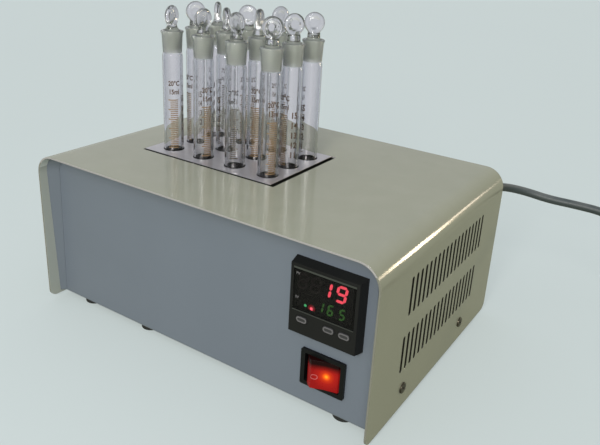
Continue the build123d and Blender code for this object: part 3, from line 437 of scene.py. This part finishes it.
def pale_floor():
    """Pale paper to the eye and through glass, and a greyer one for the light it throws back."""
    material = finish("Floor paper", (0.280, 0.310, 0.306), (0.276, 0.306, 0.302), 0.9, grain=300.0,
                      bump=0.02, drift_scale=1.5,
                      sockets={"Specular IOR Level": 0.1, "Emission Strength": 1.0})
    tree, shader = material.node_tree, shader_of(material)
    ray = add_node(tree, "LightPath")
    paper = shader["Base Color"].links[0].from_socket
    colour = mixed(tree, ray["Is Camera Ray"], (0.37, 0.39, 0.30), paper)
    lift = mixed(tree, ray["Is Camera Ray"], (0, 0, 0), (0.300, 0.335, 0.330))
    colour = mixed(tree, ray["Is Transmission Ray"], colour, (0.50, 0.505, 0.53))
    lift = mixed(tree, ray["Is Transmission Ray"], lift, (0.053, 0.055, 0.063))
    plug(tree, shader["Base Color"], colour)
    plug(tree, shader["Emission Color"], lift)
    return material


# ---- finishes of the scene's own pieces ------------------------------------------------

# the lighter edge colour is a painted highlight along the panel's sharp edges
panel_paint = finish("Panel paint", (0.142, 0.167, 0.201), (0.134, 0.158, 0.191), 0.34, grain=1600.0,
                     bump=0.08, bump_depth=0.00005, edge=0.3, edge_colour=(0.24, 0.27, 0.30))
cord_pvc = finish("Cord sheath", (0.033, 0.044, 0.044), (0.044, 0.056, 0.056), 0.44, grain=700.0, bump=0.06,
                  roughness_spread=0.12, dust=0.18)
face_plastic = finish("Controller face", (0.014, 0.013, 0.013), (0.018, 0.017, 0.017), 0.6, grain=900.0,
                      bump=0.02, bump_depth=0.00004, sockets={"Specular IOR Level": 0.2})
legend_pink = finish("Pink mark", (0.58, 0.13, 0.13), (0.52, 0.11, 0.11), 0.4, grain=2500.0)
legend_print = finish("Grey legend", (0.135, 0.130, 0.135), (0.110, 0.106, 0.110), 0.55, grain=3000.0)
# painted highlight for the lines along the window's edges
window_edge_highlight = finish("Window edge highlight", (0.040, 0.046, 0.039), (0.034, 0.039, 0.033), 0.5, grain=3000.0)
line_enamel = finish("Brown line enamel", (0.205, 0.134, 0.070), (0.255, 0.168, 0.090), 0.5, grain=2500.0)
figure_enamel = finish("Dark figure enamel", (0.075, 0.044, 0.026), (0.105, 0.062, 0.036), 0.5, grain=2500.0)
clear_glass = glass("Clear glass", (0.972, 0.966, 0.968), (0.34, 0.40, 0.46), 0.0)
stopper_glass = glass("Stopper glass", (0.95, 0.95, 0.95), (0.23, 0.25, 0.26), 0.03, rim_reach=0.66)
ground_glass = glass("Ground glass", (0.74, 0.77, 0.70), (0.50, 0.53, 0.48), 0.50, transmission=0.55,
                     grain=2500.0)
red_segment = lit("Red segment", (1.0, 0.085, 0.125), 2.6)
green_segment = lit("Green segment", (0.10, 0.36, 0.06), 0.62)
green_lamp = lit("Green lamp", (0.12, 0.85, 0.30), 1.3)
red_lamp = lit("Red lamp", (1.0, 0.09, 0.14), 2.2)
red_halo = lit("Red lamp's halo", (0.30, 0.004, 0.010), 1.0)
dark_segment = finish("Unlit segment", (0.030, 0.020, 0.021), (0.024, 0.016, 0.017), 0.5, grain=1500.0)


# ---- finishes of the frame's solids ----------------------------------------------------

def dress(material, *node_names):
    """Give nodes of the frame a material."""
    for node_name in node_names:
        node = nodes[node_name]
        if not node.material_slots:
            node.data.materials.append(material)
        for material_slot in node.material_slots:
            material_slot.material = material


# Lighter edge colours in the finishes below are painted highlights along sharp edges; the cover screws'
# darker one is painted shade.
dress(sprayed_cover(), "outer_cover")
dress(panel_paint, "base_tray")
dress(milled_block(), "heating_block")
dress(finish("Mineral board", (0.78, 0.76, 0.70), (0.70, 0.68, 0.62), 0.9, grain=420.0, bump=0.5,
             bump_depth=0.0004), "insulation_jacket")
dress(finish("Zinc plate", (0.55, 0.56, 0.57), (0.47, 0.48, 0.50), 0.34, grain=300.0, roughness_spread=0.15,
             edge=0.4, edge_colour=(0.7, 0.7, 0.7), sockets={"Metallic": 1.0}),
      "block_housing", "housing_pillars", "base_screws", "earth_stud")
dress(finish("Foot rubber", (0.010, 0.011, 0.011), (0.016, 0.017, 0.017), 0.62, grain=1800.0, bump=0.2,
             dust=0.06), "rubber_feet")
dress(finish("Dulled screw", (0.115, 0.100, 0.070), (0.040, 0.036, 0.027), 0.34, grain=700.0,
             drift_scale=160.0, edge=0.7, edge_colour=(0.04, 0.038, 0.03), sockets={"Metallic": 0.85}),
      "cover_screws")
dress(finish("Drawn steel sheath", (0.50, 0.49, 0.48), (0.42, 0.41, 0.41), 0.3, grain=900.0,
             stretch=(0.05, 1.0, 1.0), sockets={"Metallic": 1.0}), "cartridge_heaters", "temperature_probe")
dress(finish("Braided sleeve", (0.66, 0.64, 0.58), (0.55, 0.53, 0.48), 0.8, grain=1400.0, bump=0.6,
             bump_depth=0.0002), "heater_leads")
dress(finish("Bezel plastic", (0.0085, 0.009, 0.0085), (0.012, 0.0125, 0.012), 0.45, grain=2600.0, bump=0.2,
             bump_depth=0.00005, edge=0.5, edge_colour=(0.030, 0.031, 0.033),
             sockets={"Specular IOR Level": 0.12}), "controller_bezel", "controller_case", "controller_clip")
dress(finish("Smoked window", (0.004, 0.004, 0.004), (0.006, 0.006, 0.006), 0.10, grain=900.0,
             roughness_spread=0.04, bump=0.01, sockets={"Alpha": 0.40, "Specular IOR Level": 0.22}),
      "controller_window")
dress(finish("Key plastic", (0.020, 0.020, 0.022), (0.026, 0.026, 0.028), 0.45, grain=2200.0, bump=0.15,
             edge=0.4, edge_colour=(0.08, 0.08, 0.085)), "set_key", "down_key", "up_key")
dress(finish("Switch plastic", (0.004, 0.005, 0.005), (0.006, 0.007, 0.007), 0.34, grain=1800.0, bump=0.06,
             edge=0.5, edge_colour=(0.020, 0.020, 0.022), sockets={"Specular IOR Level": 0.15}),
      "switch_housing")
dress(rocker_glow(), "rocker")
dress(finish("Plated brass", (0.62, 0.55, 0.38), (0.52, 0.46, 0.33), 0.28, grain=600.0,
             sockets={"Metallic": 1.0}), "switch_terminals", "plug_pins")
dress(finish("Anodised sink", (0.46, 0.47, 0.49), (0.40, 0.41, 0.43), 0.42, grain=500.0,
             stretch=(1.0, 0.05, 1.0), sockets={"Metallic": 0.9}), "relay_heat_sink")
dress(finish("Relay plastic", (0.62, 0.60, 0.52), (0.56, 0.54, 0.48), 0.5, grain=1500.0), "solid_state_relay")
dress(finish("Terminal plastic", (0.72, 0.72, 0.68), (0.66, 0.66, 0.62), 0.48, grain=1500.0),
      "terminal_block")
dress(finish("Fuse base plastic", (0.018, 0.018, 0.018), (0.026, 0.026, 0.026), 0.5, grain=1500.0),
      "fuse_block")
dress(glass("Fuse glass", (0.95, 0.96, 0.96), (0.60, 0.63, 0.62), 0.03), "glass_fuse")
dress(finish("Wire sleeve", (0.30, 0.12, 0.05), (0.05, 0.16, 0.30), 0.42, grain=1500.0, drift_scale=26.0),
      "internal_wiring")
dress(cord_pvc, "strain_relief", "plug_body")
dress(finish("Tie plastic", (0.70, 0.70, 0.69), (0.62, 0.62, 0.61), 0.4, grain=900.0,
             sockets={"Subsurface Weight": 0.1}), "cord_tie")


# ==== Camera ============================================================================

def outward(azimuth, elevation):
    """Direction at an azimuth from -Y towards +X and an elevation, in degrees."""
    turn, rise = math.radians(azimuth), math.radians(elevation)
    return Vector((math.sin(turn) * math.cos(rise), -math.cos(turn) * math.cos(rise), math.sin(rise)))


def studio_camera(place, azimuth, elevation, roll, lens, shift):
    """Camera that looks from an azimuth and an elevation and leans by a roll, in degrees."""
    back = outward(azimuth, elevation)
    lean = math.radians(roll)
    level = Vector((0, 0, 1)).cross(back).normalized()
    upright = back.cross(level)
    right = math.cos(lean) * level + math.sin(lean) * upright
    up = math.cos(lean) * upright - math.sin(lean) * level
    settings = bpy.data.cameras.new("Camera")
    settings.sensor_width = 36.0
    settings.lens = lens
    settings.shift_x, settings.shift_y = shift
    settings.clip_start = 0.02
    settings.clip_end = 60.0
    camera = bpy.data.objects.new("Camera", settings)
    bpy.context.scene.collection.objects.link(camera)
    camera.matrix_world = Matrix.Translation(place) @ Matrix((right, up, back)).transposed().to_4x4()
    bpy.context.scene.camera = camera


studio_camera((0.2719, -0.3898, 0.2849), azimuth=31.87, elevation=21.27, roll=3.33, lens=41.05,
              shift=(-0.0147, -0.0545))


# ==== Mains lead ========================================================================

cord_diameter = 6.8
coil_x = 291.0
coil_y = 96.5
outer_turn, middle_turn, inner_turn = 44.2, 37.35, 30.5
upper_layer, lower_layer = 10.2, 3.4
coil_entry_angle = 57.0
coil_exit_angle = 0.0
coil_sweep = 5 * 360.0 + coil_entry_angle - coil_exit_angle
coil_points = 83
straight_near, straight_far = 25.4, 40.4      # from the coil to the nearest points of its straight ends
tie_angle = 200.0
tie_thickness = 0.8
cord_exit = (122.0, 111.5, 94.0)
plug_entry = (327.8, 4.0, 13.0)
plug_angle = math.radians(255.0)
boot_length = 15.0


def on_outer_turn(angle, ahead, height):
    """Point beside the coil, a length ahead of where a straight end touches the outermost turn."""
    turn = math.radians(angle)
    return (coil_x + outer_turn * math.cos(turn) + ahead * math.sin(turn),
            coil_y + outer_turn * math.sin(turn) - ahead * math.cos(turn), height)


def eased_steps(swept, value, *steps):
    """Value that eases to the next one between two angles of the coil; steps are (start, end, value)."""
    for start, end, following in steps:
        value += (following - value) * smoothly(swept, start, end)
    return value


def coil_line():
    """Control points of the neat coil: three turns inwards on top, then outwards again underneath."""
    points = []
    step = coil_sweep / coil_points
    reach = 1 / math.cos(math.radians(step / 2))
    for k in range(coil_points):
        swept = step * (k + 0.5)
        angle = coil_entry_angle - swept
        radius = eased_steps(swept, outer_turn, (300, 360, middle_turn), (660, 720, inner_turn),
                             (1077, 1137, middle_turn), (1437, 1497, outer_turn))
        height = eased_steps(swept, upper_layer, (777, 837, lower_layer))
        held = max(0.0, math.cos(math.radians(angle - tie_angle))) ** 8
        height += tie_thickness * held * (1 if height < 2 * lower_layer else -1)
        radius += tie_thickness * held * (middle_turn - radius) / (outer_turn - middle_turn)
        turn = math.radians(angle)
        points.append((coil_x + radius * reach * math.cos(turn), coil_y + radius * reach * math.sin(turn),
                       height))
    return points


def spline_through(name, points, depth):
    """Smooth tube on one NURBS line with these control points, in millimetres."""
    line = bpy.data.curves.new(name, "CURVE")
    line.dimensions = "3D"
    line.bevel_depth = depth * MM
    line.bevel_resolution = 6
    line.resolution_u = 10
    line.use_fill_caps = True
    spline = line.splines.new("NURBS")
    spline.points.add(len(points) - 1)
    for spline_point, (x, y, z) in zip(spline.points, points):
        spline_point.co = (x * MM, y * MM, z * MM, 1)
    spline.order_u = 3
    spline.use_endpoint_u = True
    return line


cord_run = [
    cord_exit, (122.0, 129.3, 94.0), (129.6, 146.7, 91.0), (143.5, 158.3, 87.0), (161.0, 163.0, 83.5),
    (182.0, 169.0, 82.0), (204.0, 174.0, 80.0), (218.3, 176.5, 73.2), (229.6, 176.9, 61.9),
    (237.6, 176.1, 48.0), (245.4, 174.3, 34.1), (255.4, 170.6, 22.6), (267.5, 164.4, 14.4),
    on_outer_turn(coil_entry_angle, -straight_far, upper_layer),
    on_outer_turn(coil_entry_angle, -straight_near, upper_layer),
]
tail_run = [
    on_outer_turn(coil_exit_angle, straight_near, lower_layer),
    on_outer_turn(coil_exit_angle, straight_far, lower_layer), (335.6, 41.5, 7.2), (334.2, 29.5, 11.3),
    (plug_entry[0] - boot_length * math.cos(plug_angle), plug_entry[1] - boot_length * math.sin(plug_angle),
     plug_entry[2]), plug_entry,
]
lead_line = spline_through("mains_lead", cord_run + coil_line() + tail_run, cord_diameter / 2)
mains_lead = new_piece("mains_lead", lead_line, [cord_pvc], "chassis", smooth=False)
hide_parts("mains_cord", "cord_coil", "cord_tail")


# ==== Tubes and stoppers ================================================================

neck_foot = tube_rim - joint_length
shoulder = 3.0                # height over which the tube widens or narrows to its neck
neck_wall = 1.05
rim_bore = 6.5                # radius of the neck's bore at the rim
bore_taper = 0.05             # millimetres of radius for each millimetre of depth
neck_heights = [tube_rim - depth for depth in (13.0, 10.0, 7.0, 4.0)]
bead_radius, bead_middle, bead_depth = 0.95, 7.15, 1.05
lip_radius = 0.4
plug_length = 13.5            # ground part of the stopper below the tube's rim
plug_play = 0.06
stopper_neck = 4.5            # radius of the stopper's smooth neck
stopper_segments = 48
stopper_levels = 44


def neck_bore(height):
    return rim_bore - bore_taper * (tube_rim - height)


def tube_mesh():
    """Round-bottomed tube with a beaded rim and a tapered neck that is ground inside."""
    centre = tube_bottom + tube_radius
    bore = tube_radius - tube_wall
    foot_bore = neck_bore(neck_foot)
    steps = [i / 8 for i in range(9)]
    outside = arc(0, centre, tube_radius, -90, 0, 12)
    outside += [(tube_radius + (foot_bore + neck_wall - tube_radius) * smoothly(t),
                 neck_foot + shoulder * (t - 1)) for t in steps]
    outside += [(neck_bore(z) + neck_wall, z) for z in neck_heights + [tube_rim - 2.5]]
    bead = arc(bead_middle, tube_rim - bead_depth, bead_radius, -25, 90, 9)
    lip = arc(rim_bore + lip_radius, tube_rim - lip_radius, lip_radius, 90, 180, 5)
    inside = [(neck_bore(z), z) for z in [tube_rim - 1.0] + neck_heights[::-1] + [neck_foot]]
    inside += [(foot_bore + (bore - foot_bore) * smoothly(t), neck_foot - shoulder * t) for t in steps[1:]]
    inside += arc(0, centre, bore, 0, -90, 12)
    shape = bmesh.new()
    lathe(shape, outside + bead + lip + inside, 56)
    for face in shape.faces:
        x, y, z = face.calc_center_median() / MM
        if neck_foot < z < tube_rim - 0.6 and math.hypot(x, y) < neck_bore(z) + 0.1:
            face.material_index = 1
    return mesh_from("digestion_tube", shape)


def head_thickness(distance):
    """Half thickness of a stopper's disc at a distance from its middle: thinner there, rounded at the rim."""
    rim, hollow, hollow_slope = 2.1, 0.45, 2.5
    inward = head_radius - rim
    if distance >= head_radius:
        return 0.0
    if distance > inward:
        return rim * math.sqrt(1 - ((distance - inward) / rim) ** 2)
    return rim - hollow * smoothly((inward - distance) / hollow_slope)


def grip_outline(above):
    """Level outline of a stopper above its plug, at a height above its disc's middle: round, then flat."""
    risen = above + head_radius
    chord = math.sqrt(max(0.0, head_radius ** 2 - above ** 2))
    neck = stopper_neck * (1 - smoothly(risen, -0.6, 5.4))
    wide = (chord ** 4 + neck ** 4) ** 0.25
    flat = smoothly(risen, -2.2, 4.3)
    outline = []
    for across, side in circle(wide, stopper_segments):
        round_half = stopper_neck * math.sqrt(max(0.0, 1 - (across / wide) ** 2))
        deep = (1 - flat) * round_half + flat * head_thickness(math.hypot(across, above))
        outline.append((across, math.copysign(deep, side)))
    return outline


def stopper_mesh(head_rise):
    """Stopper: ground plug, smooth neck and an upright disc with a rounded rim to hold it by."""
    head_z = tube_rim + head_rise
    foot = tube_rim - plug_length
    plug_heights = (foot + 3, foot + 6, foot + 9, foot + 12, tube_rim - 0.9)
    profile = [(0, foot), (4.6, foot + 0.05), (5.4, foot + 0.3), (5.7, foot + 0.8)]
    profile += [(neck_bore(z) - plug_play, z) for z in plug_heights]
    profile += [(6.2, tube_rim - 0.6), (5.7, tube_rim - 0.2), (5.0, tube_rim + 0.3), (4.65, tube_rim + 0.9)]
    shape = bmesh.new()
    rings = [level_ring(shape, height, circle(radius, stopper_segments)) for radius, height in profile]
    neck_top, head_top = tube_rim + 1.6, head_z + head_radius
    for level in range(stopper_levels):
        height = neck_top + (head_top - neck_top) * math.sin(math.pi / 2 * level / stopper_levels)
        rings.append(level_ring(shape, height, grip_outline(height - head_z)))
    rings.append(level_ring(shape, head_top, circle(0, stopper_segments)))
    skin(shape, rings)
    bmesh.ops.remove_doubles(shape, verts=shape.verts, dist=0.02 * MM)
    for face in shape.faces:
        if foot < face.calc_center_median().z / MM < tube_rim - 0.7:
            face.material_index = 1
    return mesh_from("stopper", shape)


def add_word(shape, words, size, place):
    """Letters of a word in a bmesh, each corner put in place by a function of x and z in millimetres."""
    letters = bpy.data.curves.new("letters", "FONT")
    letters.body = words
    letters.size = size * MM
    letters.align_x = "CENTER"
    letters.align_y = "CENTER"
    letters.resolution_u = 3
    letters.offset = 0.03 * size * MM
    holder = bpy.data.objects.new("letters", letters)
    bpy.context.scene.collection.objects.link(holder)
    bpy.context.view_layer.update()
    flat = bpy.data.meshes.new_from_object(holder.evaluated_get(bpy.context.evaluated_depsgraph_get()))
    bpy.data.objects.remove(holder)
    corners = [shape.verts.new(place(v.co.x / MM, v.co.y / MM)) for v in flat.vertices]
    for polygon in flat.polygons:
        shape.faces.new([corners[i] for i in polygon.vertices])
    bpy.data.meshes.remove(flat)


scale_zero = 51.8             # height of the scale's zero on the tube
scale_step = 1.44             # a fifth of a millilitre
line_end, line_thickness = 2.8, 0.68
whole_line_end, whole_line_thickness = 4.4, 0.78      # a whole millilitre's line reaches farther left
number_size, number_width, number_x = 6.0, 0.85, 8.0
unit_size, unit_width = 4.9, 0.8
millilitre_z, degree_z = 165.6, 171.8
print_proud = 0.03


def scale_print_mesh():
    """Printed scale on the tube's outside: lines, numbers and the units above them."""
    shape = bmesh.new()
    radius = tube_radius + print_proud

    def on_tube(x, z):
        turn = x / tube_radius
        return radius * math.sin(turn) * MM, -radius * math.cos(turn) * MM, z * MM

    def line(start, height, thickness):
        count = max(2, round((line_end - start) / 0.7))
        lower, upper = ([shape.verts.new(on_tube(start + (line_end - start) * i / count, height + half))
                         for i in range(count + 1)] for half in (-thickness / 2, thickness / 2))
        for i in range(count):
            shape.faces.new((lower[i], lower[i + 1], upper[i + 1], upper[i]))

    for fifth in range(50, 76):
        height = scale_zero + fifth * scale_step
        if fifth % 5:
            line(-line_end, height, line_thickness)
        else:
            line(-whole_line_end, height, whole_line_thickness)
    lines = len(shape.faces)
    for millilitres in range(11, 16):
        level = scale_zero + 5 * millilitres * scale_step
        add_word(shape, str(millilitres), number_size,
                 lambda x, z: on_tube(number_width * x + number_x, z + level))
    for words, unit_z in (("15ml", millilitre_z), ("20\N{DEGREE SIGN}C", degree_z)):
        add_word(shape, words, unit_size, lambda x, z: on_tube(unit_width * x, z + unit_z))
    shape.faces.ensure_lookup_table()
    for face in shape.faces[lines:]:
        face.material_index = 1
    return mesh_from("tube_scale", shape)


tube_shape = tube_mesh()
scale_shape = scale_print_mesh()
for index in range(well_rows * well_columns):
    number = index + 1
    row, column = divmod(index, well_columns)
    well = Vector(((well_middle_x + (column - 1.5) * well_pitch_x) * MM,
                   (well_middle_y + (row - 1) * well_pitch_y) * MM, 0))
    tube = new_piece(f"glass_tube_{number}", tube_shape, [clear_glass, ground_glass], f"tube_{number}_body",
                     place=well)
    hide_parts(f"tube_{number}")
    new_piece(f"tube_scale_{number}", scale_shape, [line_enamel, figure_enamel], f"tube_{number}_body",
              smooth=False, place=well, turn=scale_turns[index])
    stopper = new_piece(f"glass_stopper_{number}", stopper_mesh(head_rises[index]),
                        [stopper_glass, ground_glass], f"stopper_{number}_body", place=well,
                        turn=head_turns[index])
    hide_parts(f"stopper_{number}")


# ==== Controller face ===================================================================

display_y = bezel_y - 1.5     # display board, just behind the window
window_middle = controller_z + 6.6
window_left, window_right = controller_x - 20.7, controller_x + 20.7
board_half_width, board_half_height = 18.6, 11.5


def on_face(along, level):
    """Place on the controller's face, from shares of its width and height."""
    return controller_x + (along - 0.5) * bezel_face, controller_z + (level - 0.5) * bezel_face


def at_depth(depth):
    """Function that puts x, depth and z in front of a plane at -depth, in metres."""
    return lambda x, y, z: (x * MM, (y - depth) * MM, z * MM)


def flat_strip(name, material, left, right, bottom, top, depth, thickness):
    """Flat rectangle across the face."""
    shape = bmesh.new()
    corners = [(left, bottom), (right, bottom), (right, top), (left, top)]
    add_prism(shape, corners, thickness, at_depth(depth))
    shaped_piece(name, shape, material, "chassis")


def segment_outlines(figure, height, broad, middle, bottom):
    """Outlines of a seven-segment figure's lit bars, leaning to the right."""
    width, stroke, slant = broad * height, 0.15 * height, 0.17
    half, gap = stroke / 2, 0.015 * height
    bars = {
        "top": ("level", half, width - half, height - half),
        "middle": ("level", half, width - half, height / 2),
        "bottom": ("level", half, width - half, half),
        "upper left": ("upright", height / 2, height - half, half),
        "lower left": ("upright", half, height / 2, half),
        "upper right": ("upright", height / 2, height - half, width - half),
        "lower right": ("upright", half, height / 2, width - half),
    }
    shown = {
        "1": ("upper right", "lower right"), "5": ("top", "upper left", "middle", "lower right", "bottom"),
        "6": ("top", "upper left", "lower left", "middle", "lower right", "bottom"), "8": tuple(bars),
        "9": ("top", "upper left", "upper right", "middle", "lower right", "bottom"),
    }
    outlines = []
    for bar in shown[figure]:
        direction, start, end, level = bars[bar]
        start, end = start + gap, end - gap
        outline = [(start, level), (start + half, level + half), (end - half, level + half), (end, level),
                   (end - half, level - half), (start + half, level - half)]
        if direction == "upright":
            outline = [(across, along) for along, across in outline]
        outlines.append([(middle + x - width / 2 + slant * (z - height / 2), bottom + z) for x, z in outline])
    return outlines


def figures(name, material, digits, height, bottom, broad=0.54):
    """Figures of the display, given as (digit, place along the face's width from 0 to 1)."""
    shape = bmesh.new()
    for digit, along in digits:
        for outline in segment_outlines(digit, height, broad, *on_face(along, bottom)):
            add_prism(shape, outline, -0.15, at_depth(display_y))
    shaped_piece(name, shape, material, "chassis")


def lamp(name, material, along, level, radius, dome=0.3):
    """Domed indicator lamp on the display board."""
    shape = bmesh.new()
    lathe(shape, [(0, 0)] + [(radius, 0)] + arc(0, 0, radius, 0, 90, 6)[1:-1] + [(0, radius)], 20)
    turn = Matrix.Rotation(math.pi / 2, 4, "X")
    x, z = on_face(along, level)
    place = Matrix.Translation((x * MM, -display_y * MM, z * MM))
    bmesh.ops.transform(shape, matrix=place @ turn @ Matrix.Scale(dome, 4, (0, 0, 1)), verts=shape.verts)
    shaped_piece(name, shape, material, "chassis", smooth=True)


def row_strip(name, material, left, right, level, height, depth, thickness):
    """Thin strip along a level of the face, given as a share of its height."""
    middle = on_face(0, level)[1]
    flat_strip(name, material, left, right, middle - height / 2, middle + height / 2, depth, -thickness)


flat_strip("display_board", face_plastic, controller_x - board_half_width, controller_x + board_half_width,
           window_middle - board_half_height, window_middle + board_half_height, display_y - 0.08, 1.0)
figures("measured_figures", red_segment, (("1", 0.515), ("9", 0.737)), height=11.1, bottom=0.642, broad=0.64)
figures("set_figures", green_segment, (("1", 0.45), ("6", 0.595), ("5", 0.765)), height=7.5, bottom=0.405)
figures("unlit_figures", dark_segment, (("8", 0.171), ("8", 0.363)), height=10.9, bottom=0.645, broad=0.64)
lamp("control_lamp", green_lamp, along=0.222, level=0.425, radius=0.9)
lamp("output_lamp", red_lamp, along=0.318, level=0.412, radius=1.25)
lamp("output_lamp_halo", red_halo, along=0.318, level=0.412, radius=2.5, dome=0.04)
# painted highlights: lighter strips along the window's upper and lower edges
row_strip("upper_window_highlight", window_edge_highlight, window_left, window_right, level=0.946, height=1.1, depth=bezel_y,
          thickness=0.06)
row_strip("lower_window_highlight", window_edge_highlight, window_left, window_right, level=0.337, height=0.5, depth=bezel_y,
          thickness=0.06)
row_strip("row_line", dark_segment, window_left + 2, window_left + 12, level=0.6, height=0.3, depth=display_y,
          thickness=0.05)

for word, level in (("PV", 0.87), ("SV", 0.53)):
    label = bmesh.new()
    label_x, label_z = on_face(0, level)[0] + 5.0, on_face(0, level)[1]
    add_word(label, word, 2.3, lambda x, z: at_depth(bezel_y)(label_x + x, -0.03, label_z + z))
    shaped_piece(f"row_label_{word}", label, legend_print, "chassis")

for key, key_x in (("set_key", controller_x - 13.6), ("down_key", controller_x + 4.8),
                   ("up_key", controller_x + 15.2)):
    ring = bmesh.new()
    add_ring(ring, oval(key_x, key_z, 7.0, 3.5), oval(key_x, key_z, 5.4, 1.9), -0.05, at_depth(bezel_y + 0.6))
    shaped_piece(f"{key}_outline", ring, legend_print, f"{key}_body")


# ==== Switch mark =======================================================================

def on_node(node, lift):
    """Function that lays x, depth and z on a node's front, a little proud of it."""
    surface = BVHTree.FromObject(nodes[node], bpy.context.evaluated_depsgraph_get())

    def place(x, y, z):
        hit = surface.ray_cast(Vector((x * MM, -0.2, z * MM)), Vector((0, 1, 0)))[0]
        return x * MM, hit.y + (y - lift) * MM, z * MM
    return place


mark = bmesh.new()
mark_x, mark_z = switch_x - 3.4, switch_z - 1.6
add_ring(mark, oval(mark_x, mark_z, 4.3, 3.6, 12), oval(mark_x, mark_z, 3.3, 2.6, 12), -0.04,
         on_node("rocker", 0.02))
shaped_piece("off_mark", mark, legend_pink, "rocker_body")


# ==== Folds at the panel's sides ========================================================

def panel_side_fold(name, side):
    """Sloping fold that joins the front panel to the inside of a wall of the cover, wider towards the top."""
    wall, lowest, bend_start, bend = 138.75, 5.2, 105.5, 13.7
    foot_reach, head_reach = 3.4, 6.3
    front = -panel_y - 0.02
    path = [(wall, lowest + (bend_start - lowest) * i / 10, (1.0, 0.0),
             foot_reach + (head_reach - foot_reach) * i / 10) for i in range(11)]
    for step in range(1, 9):
        turn = math.radians(7.0 * step)
        away = (math.cos(turn), math.sin(turn))
        path.append((wall - bend + bend * away[0], bend_start + bend * away[1], away, head_reach))
    shape = bmesh.new()
    rings = []
    for x, z, (out_x, out_z), reach in path:
        corners = ((x, front, z), (x, -panel_y - reach, z), (x - out_x * reach, front, z - out_z * reach))
        rings.append([shape.verts.new((side * across * MM, y * MM, up * MM)) for across, y, up in corners])
    skin(shape, rings)
    shape.faces.new(rings[0])
    shape.faces.new(rings[-1])
    shaped_piece(name, shape, panel_paint, "chassis")


panel_side_fold("left_panel_fold", -1)
panel_side_fold("right_panel_fold", 1)


# ==== Floor and light ===================================================================

def floor_sheet():
    shape = bmesh.new()
    bmesh.ops.create_grid(shape, x_segments=8, y_segments=8, size=12.0)
    sheet = shaped_piece("floor", shape, pale_floor(), None)
    return sheet


def studio_world():
    """Soft light, brighter overhead and dim low down behind the right side; the eye sees it as the paper."""
    world = bpy.data.worlds.new("Studio")
    bpy.context.scene.world = world
    world.use_nodes = True
    tree = world.node_tree
    way = add_node(tree, "TexCoord")["Generated"]
    behind = calculated(tree, "DOT_PRODUCT", way, (0.88, 0.47, 0.0), "VectorMath")["Value"]
    low = mixed(tree, ranged(tree, behind, -0.2, 0.9), (0.68, 0.70, 0.71), (0.23, 0.245, 0.18))
    shades = mixed(tree, ranged(tree, axes_of(tree, way)["Z"], 0.35, 0.95), low, (0.82, 0.86, 0.93))
    seen = mixed(tree, add_node(tree, "LightPath")["Is Camera Ray"], shades, (0.604, 0.665, 0.660))
    plug(tree, tree.nodes["Background"].inputs["Color"], seen)


def new_light(name, kind, strength, colour):
    """Light of a kind in the scene; gives the object and its settings."""
    settings = bpy.data.lights.new(name, kind)
    settings.energy = strength
    settings.color = colour
    light = bpy.data.objects.new(name, settings)
    bpy.context.scene.collection.objects.link(light)
    return light, settings


def soft_lamp(name, place, towards, size, power, colour, spared=None):
    """Area lamp that looks at a point and lights all but a spared object."""
    light, settings = new_light(name, "AREA", power, colour)
    settings.shape = "RECTANGLE"
    settings.size, settings.size_y = size
    light.visible_camera = False
    light.location = place
    light.rotation_euler = (Vector(towards) - Vector(place)).to_track_quat("-Z", "Y").to_euler()
    if spared:
        unlit = bpy.data.collections.new(f"Unlit by {name}")
        unlit.objects.link(spared)
        unlit.collection_objects[0].light_linking.link_state = "EXCLUDE"
        light.light_linking.receiver_collection = unlit


def key_light(azimuth, elevation, strength, spread, colour):
    """Broad, even light from an azimuth and an elevation, in degrees."""
    light, settings = new_light("Key light", "SUN", strength, colour)
    settings.angle = math.radians(spread)
    light.rotation_euler = outward(azimuth, elevation).to_track_quat("Z", "Y").to_euler()


bpy.context.scene.view_settings.view_transform = "Standard"
floor = floor_sheet()
studio_world()
key_light(azimuth=20, elevation=30, strength=1.7, spread=35, colour=(1.0, 0.98, 0.95))
soft_lamp("Near softbox", (0.22, -0.72, 0.44), towards=(0, 0, 0.08), size=(0.11, 0.11), power=1.6,
          colour=(1.0, 0.97, 0.92))
right_bend = (0.137, -0.05, 0.11)
soft_lamp("Low rear window", (1.265, 1.72, 0.34), towards=right_bend, size=(0.17, 0.28), power=6.6,
          colour=(1.0, 0.82, 0.55), spared=floor)
soft_lamp("Rear window sill", (1.265, 1.74, 0.34), towards=right_bend, size=(0.62, 0.16), power=2.2,
          colour=(1.0, 0.82, 0.64), spared=floor)
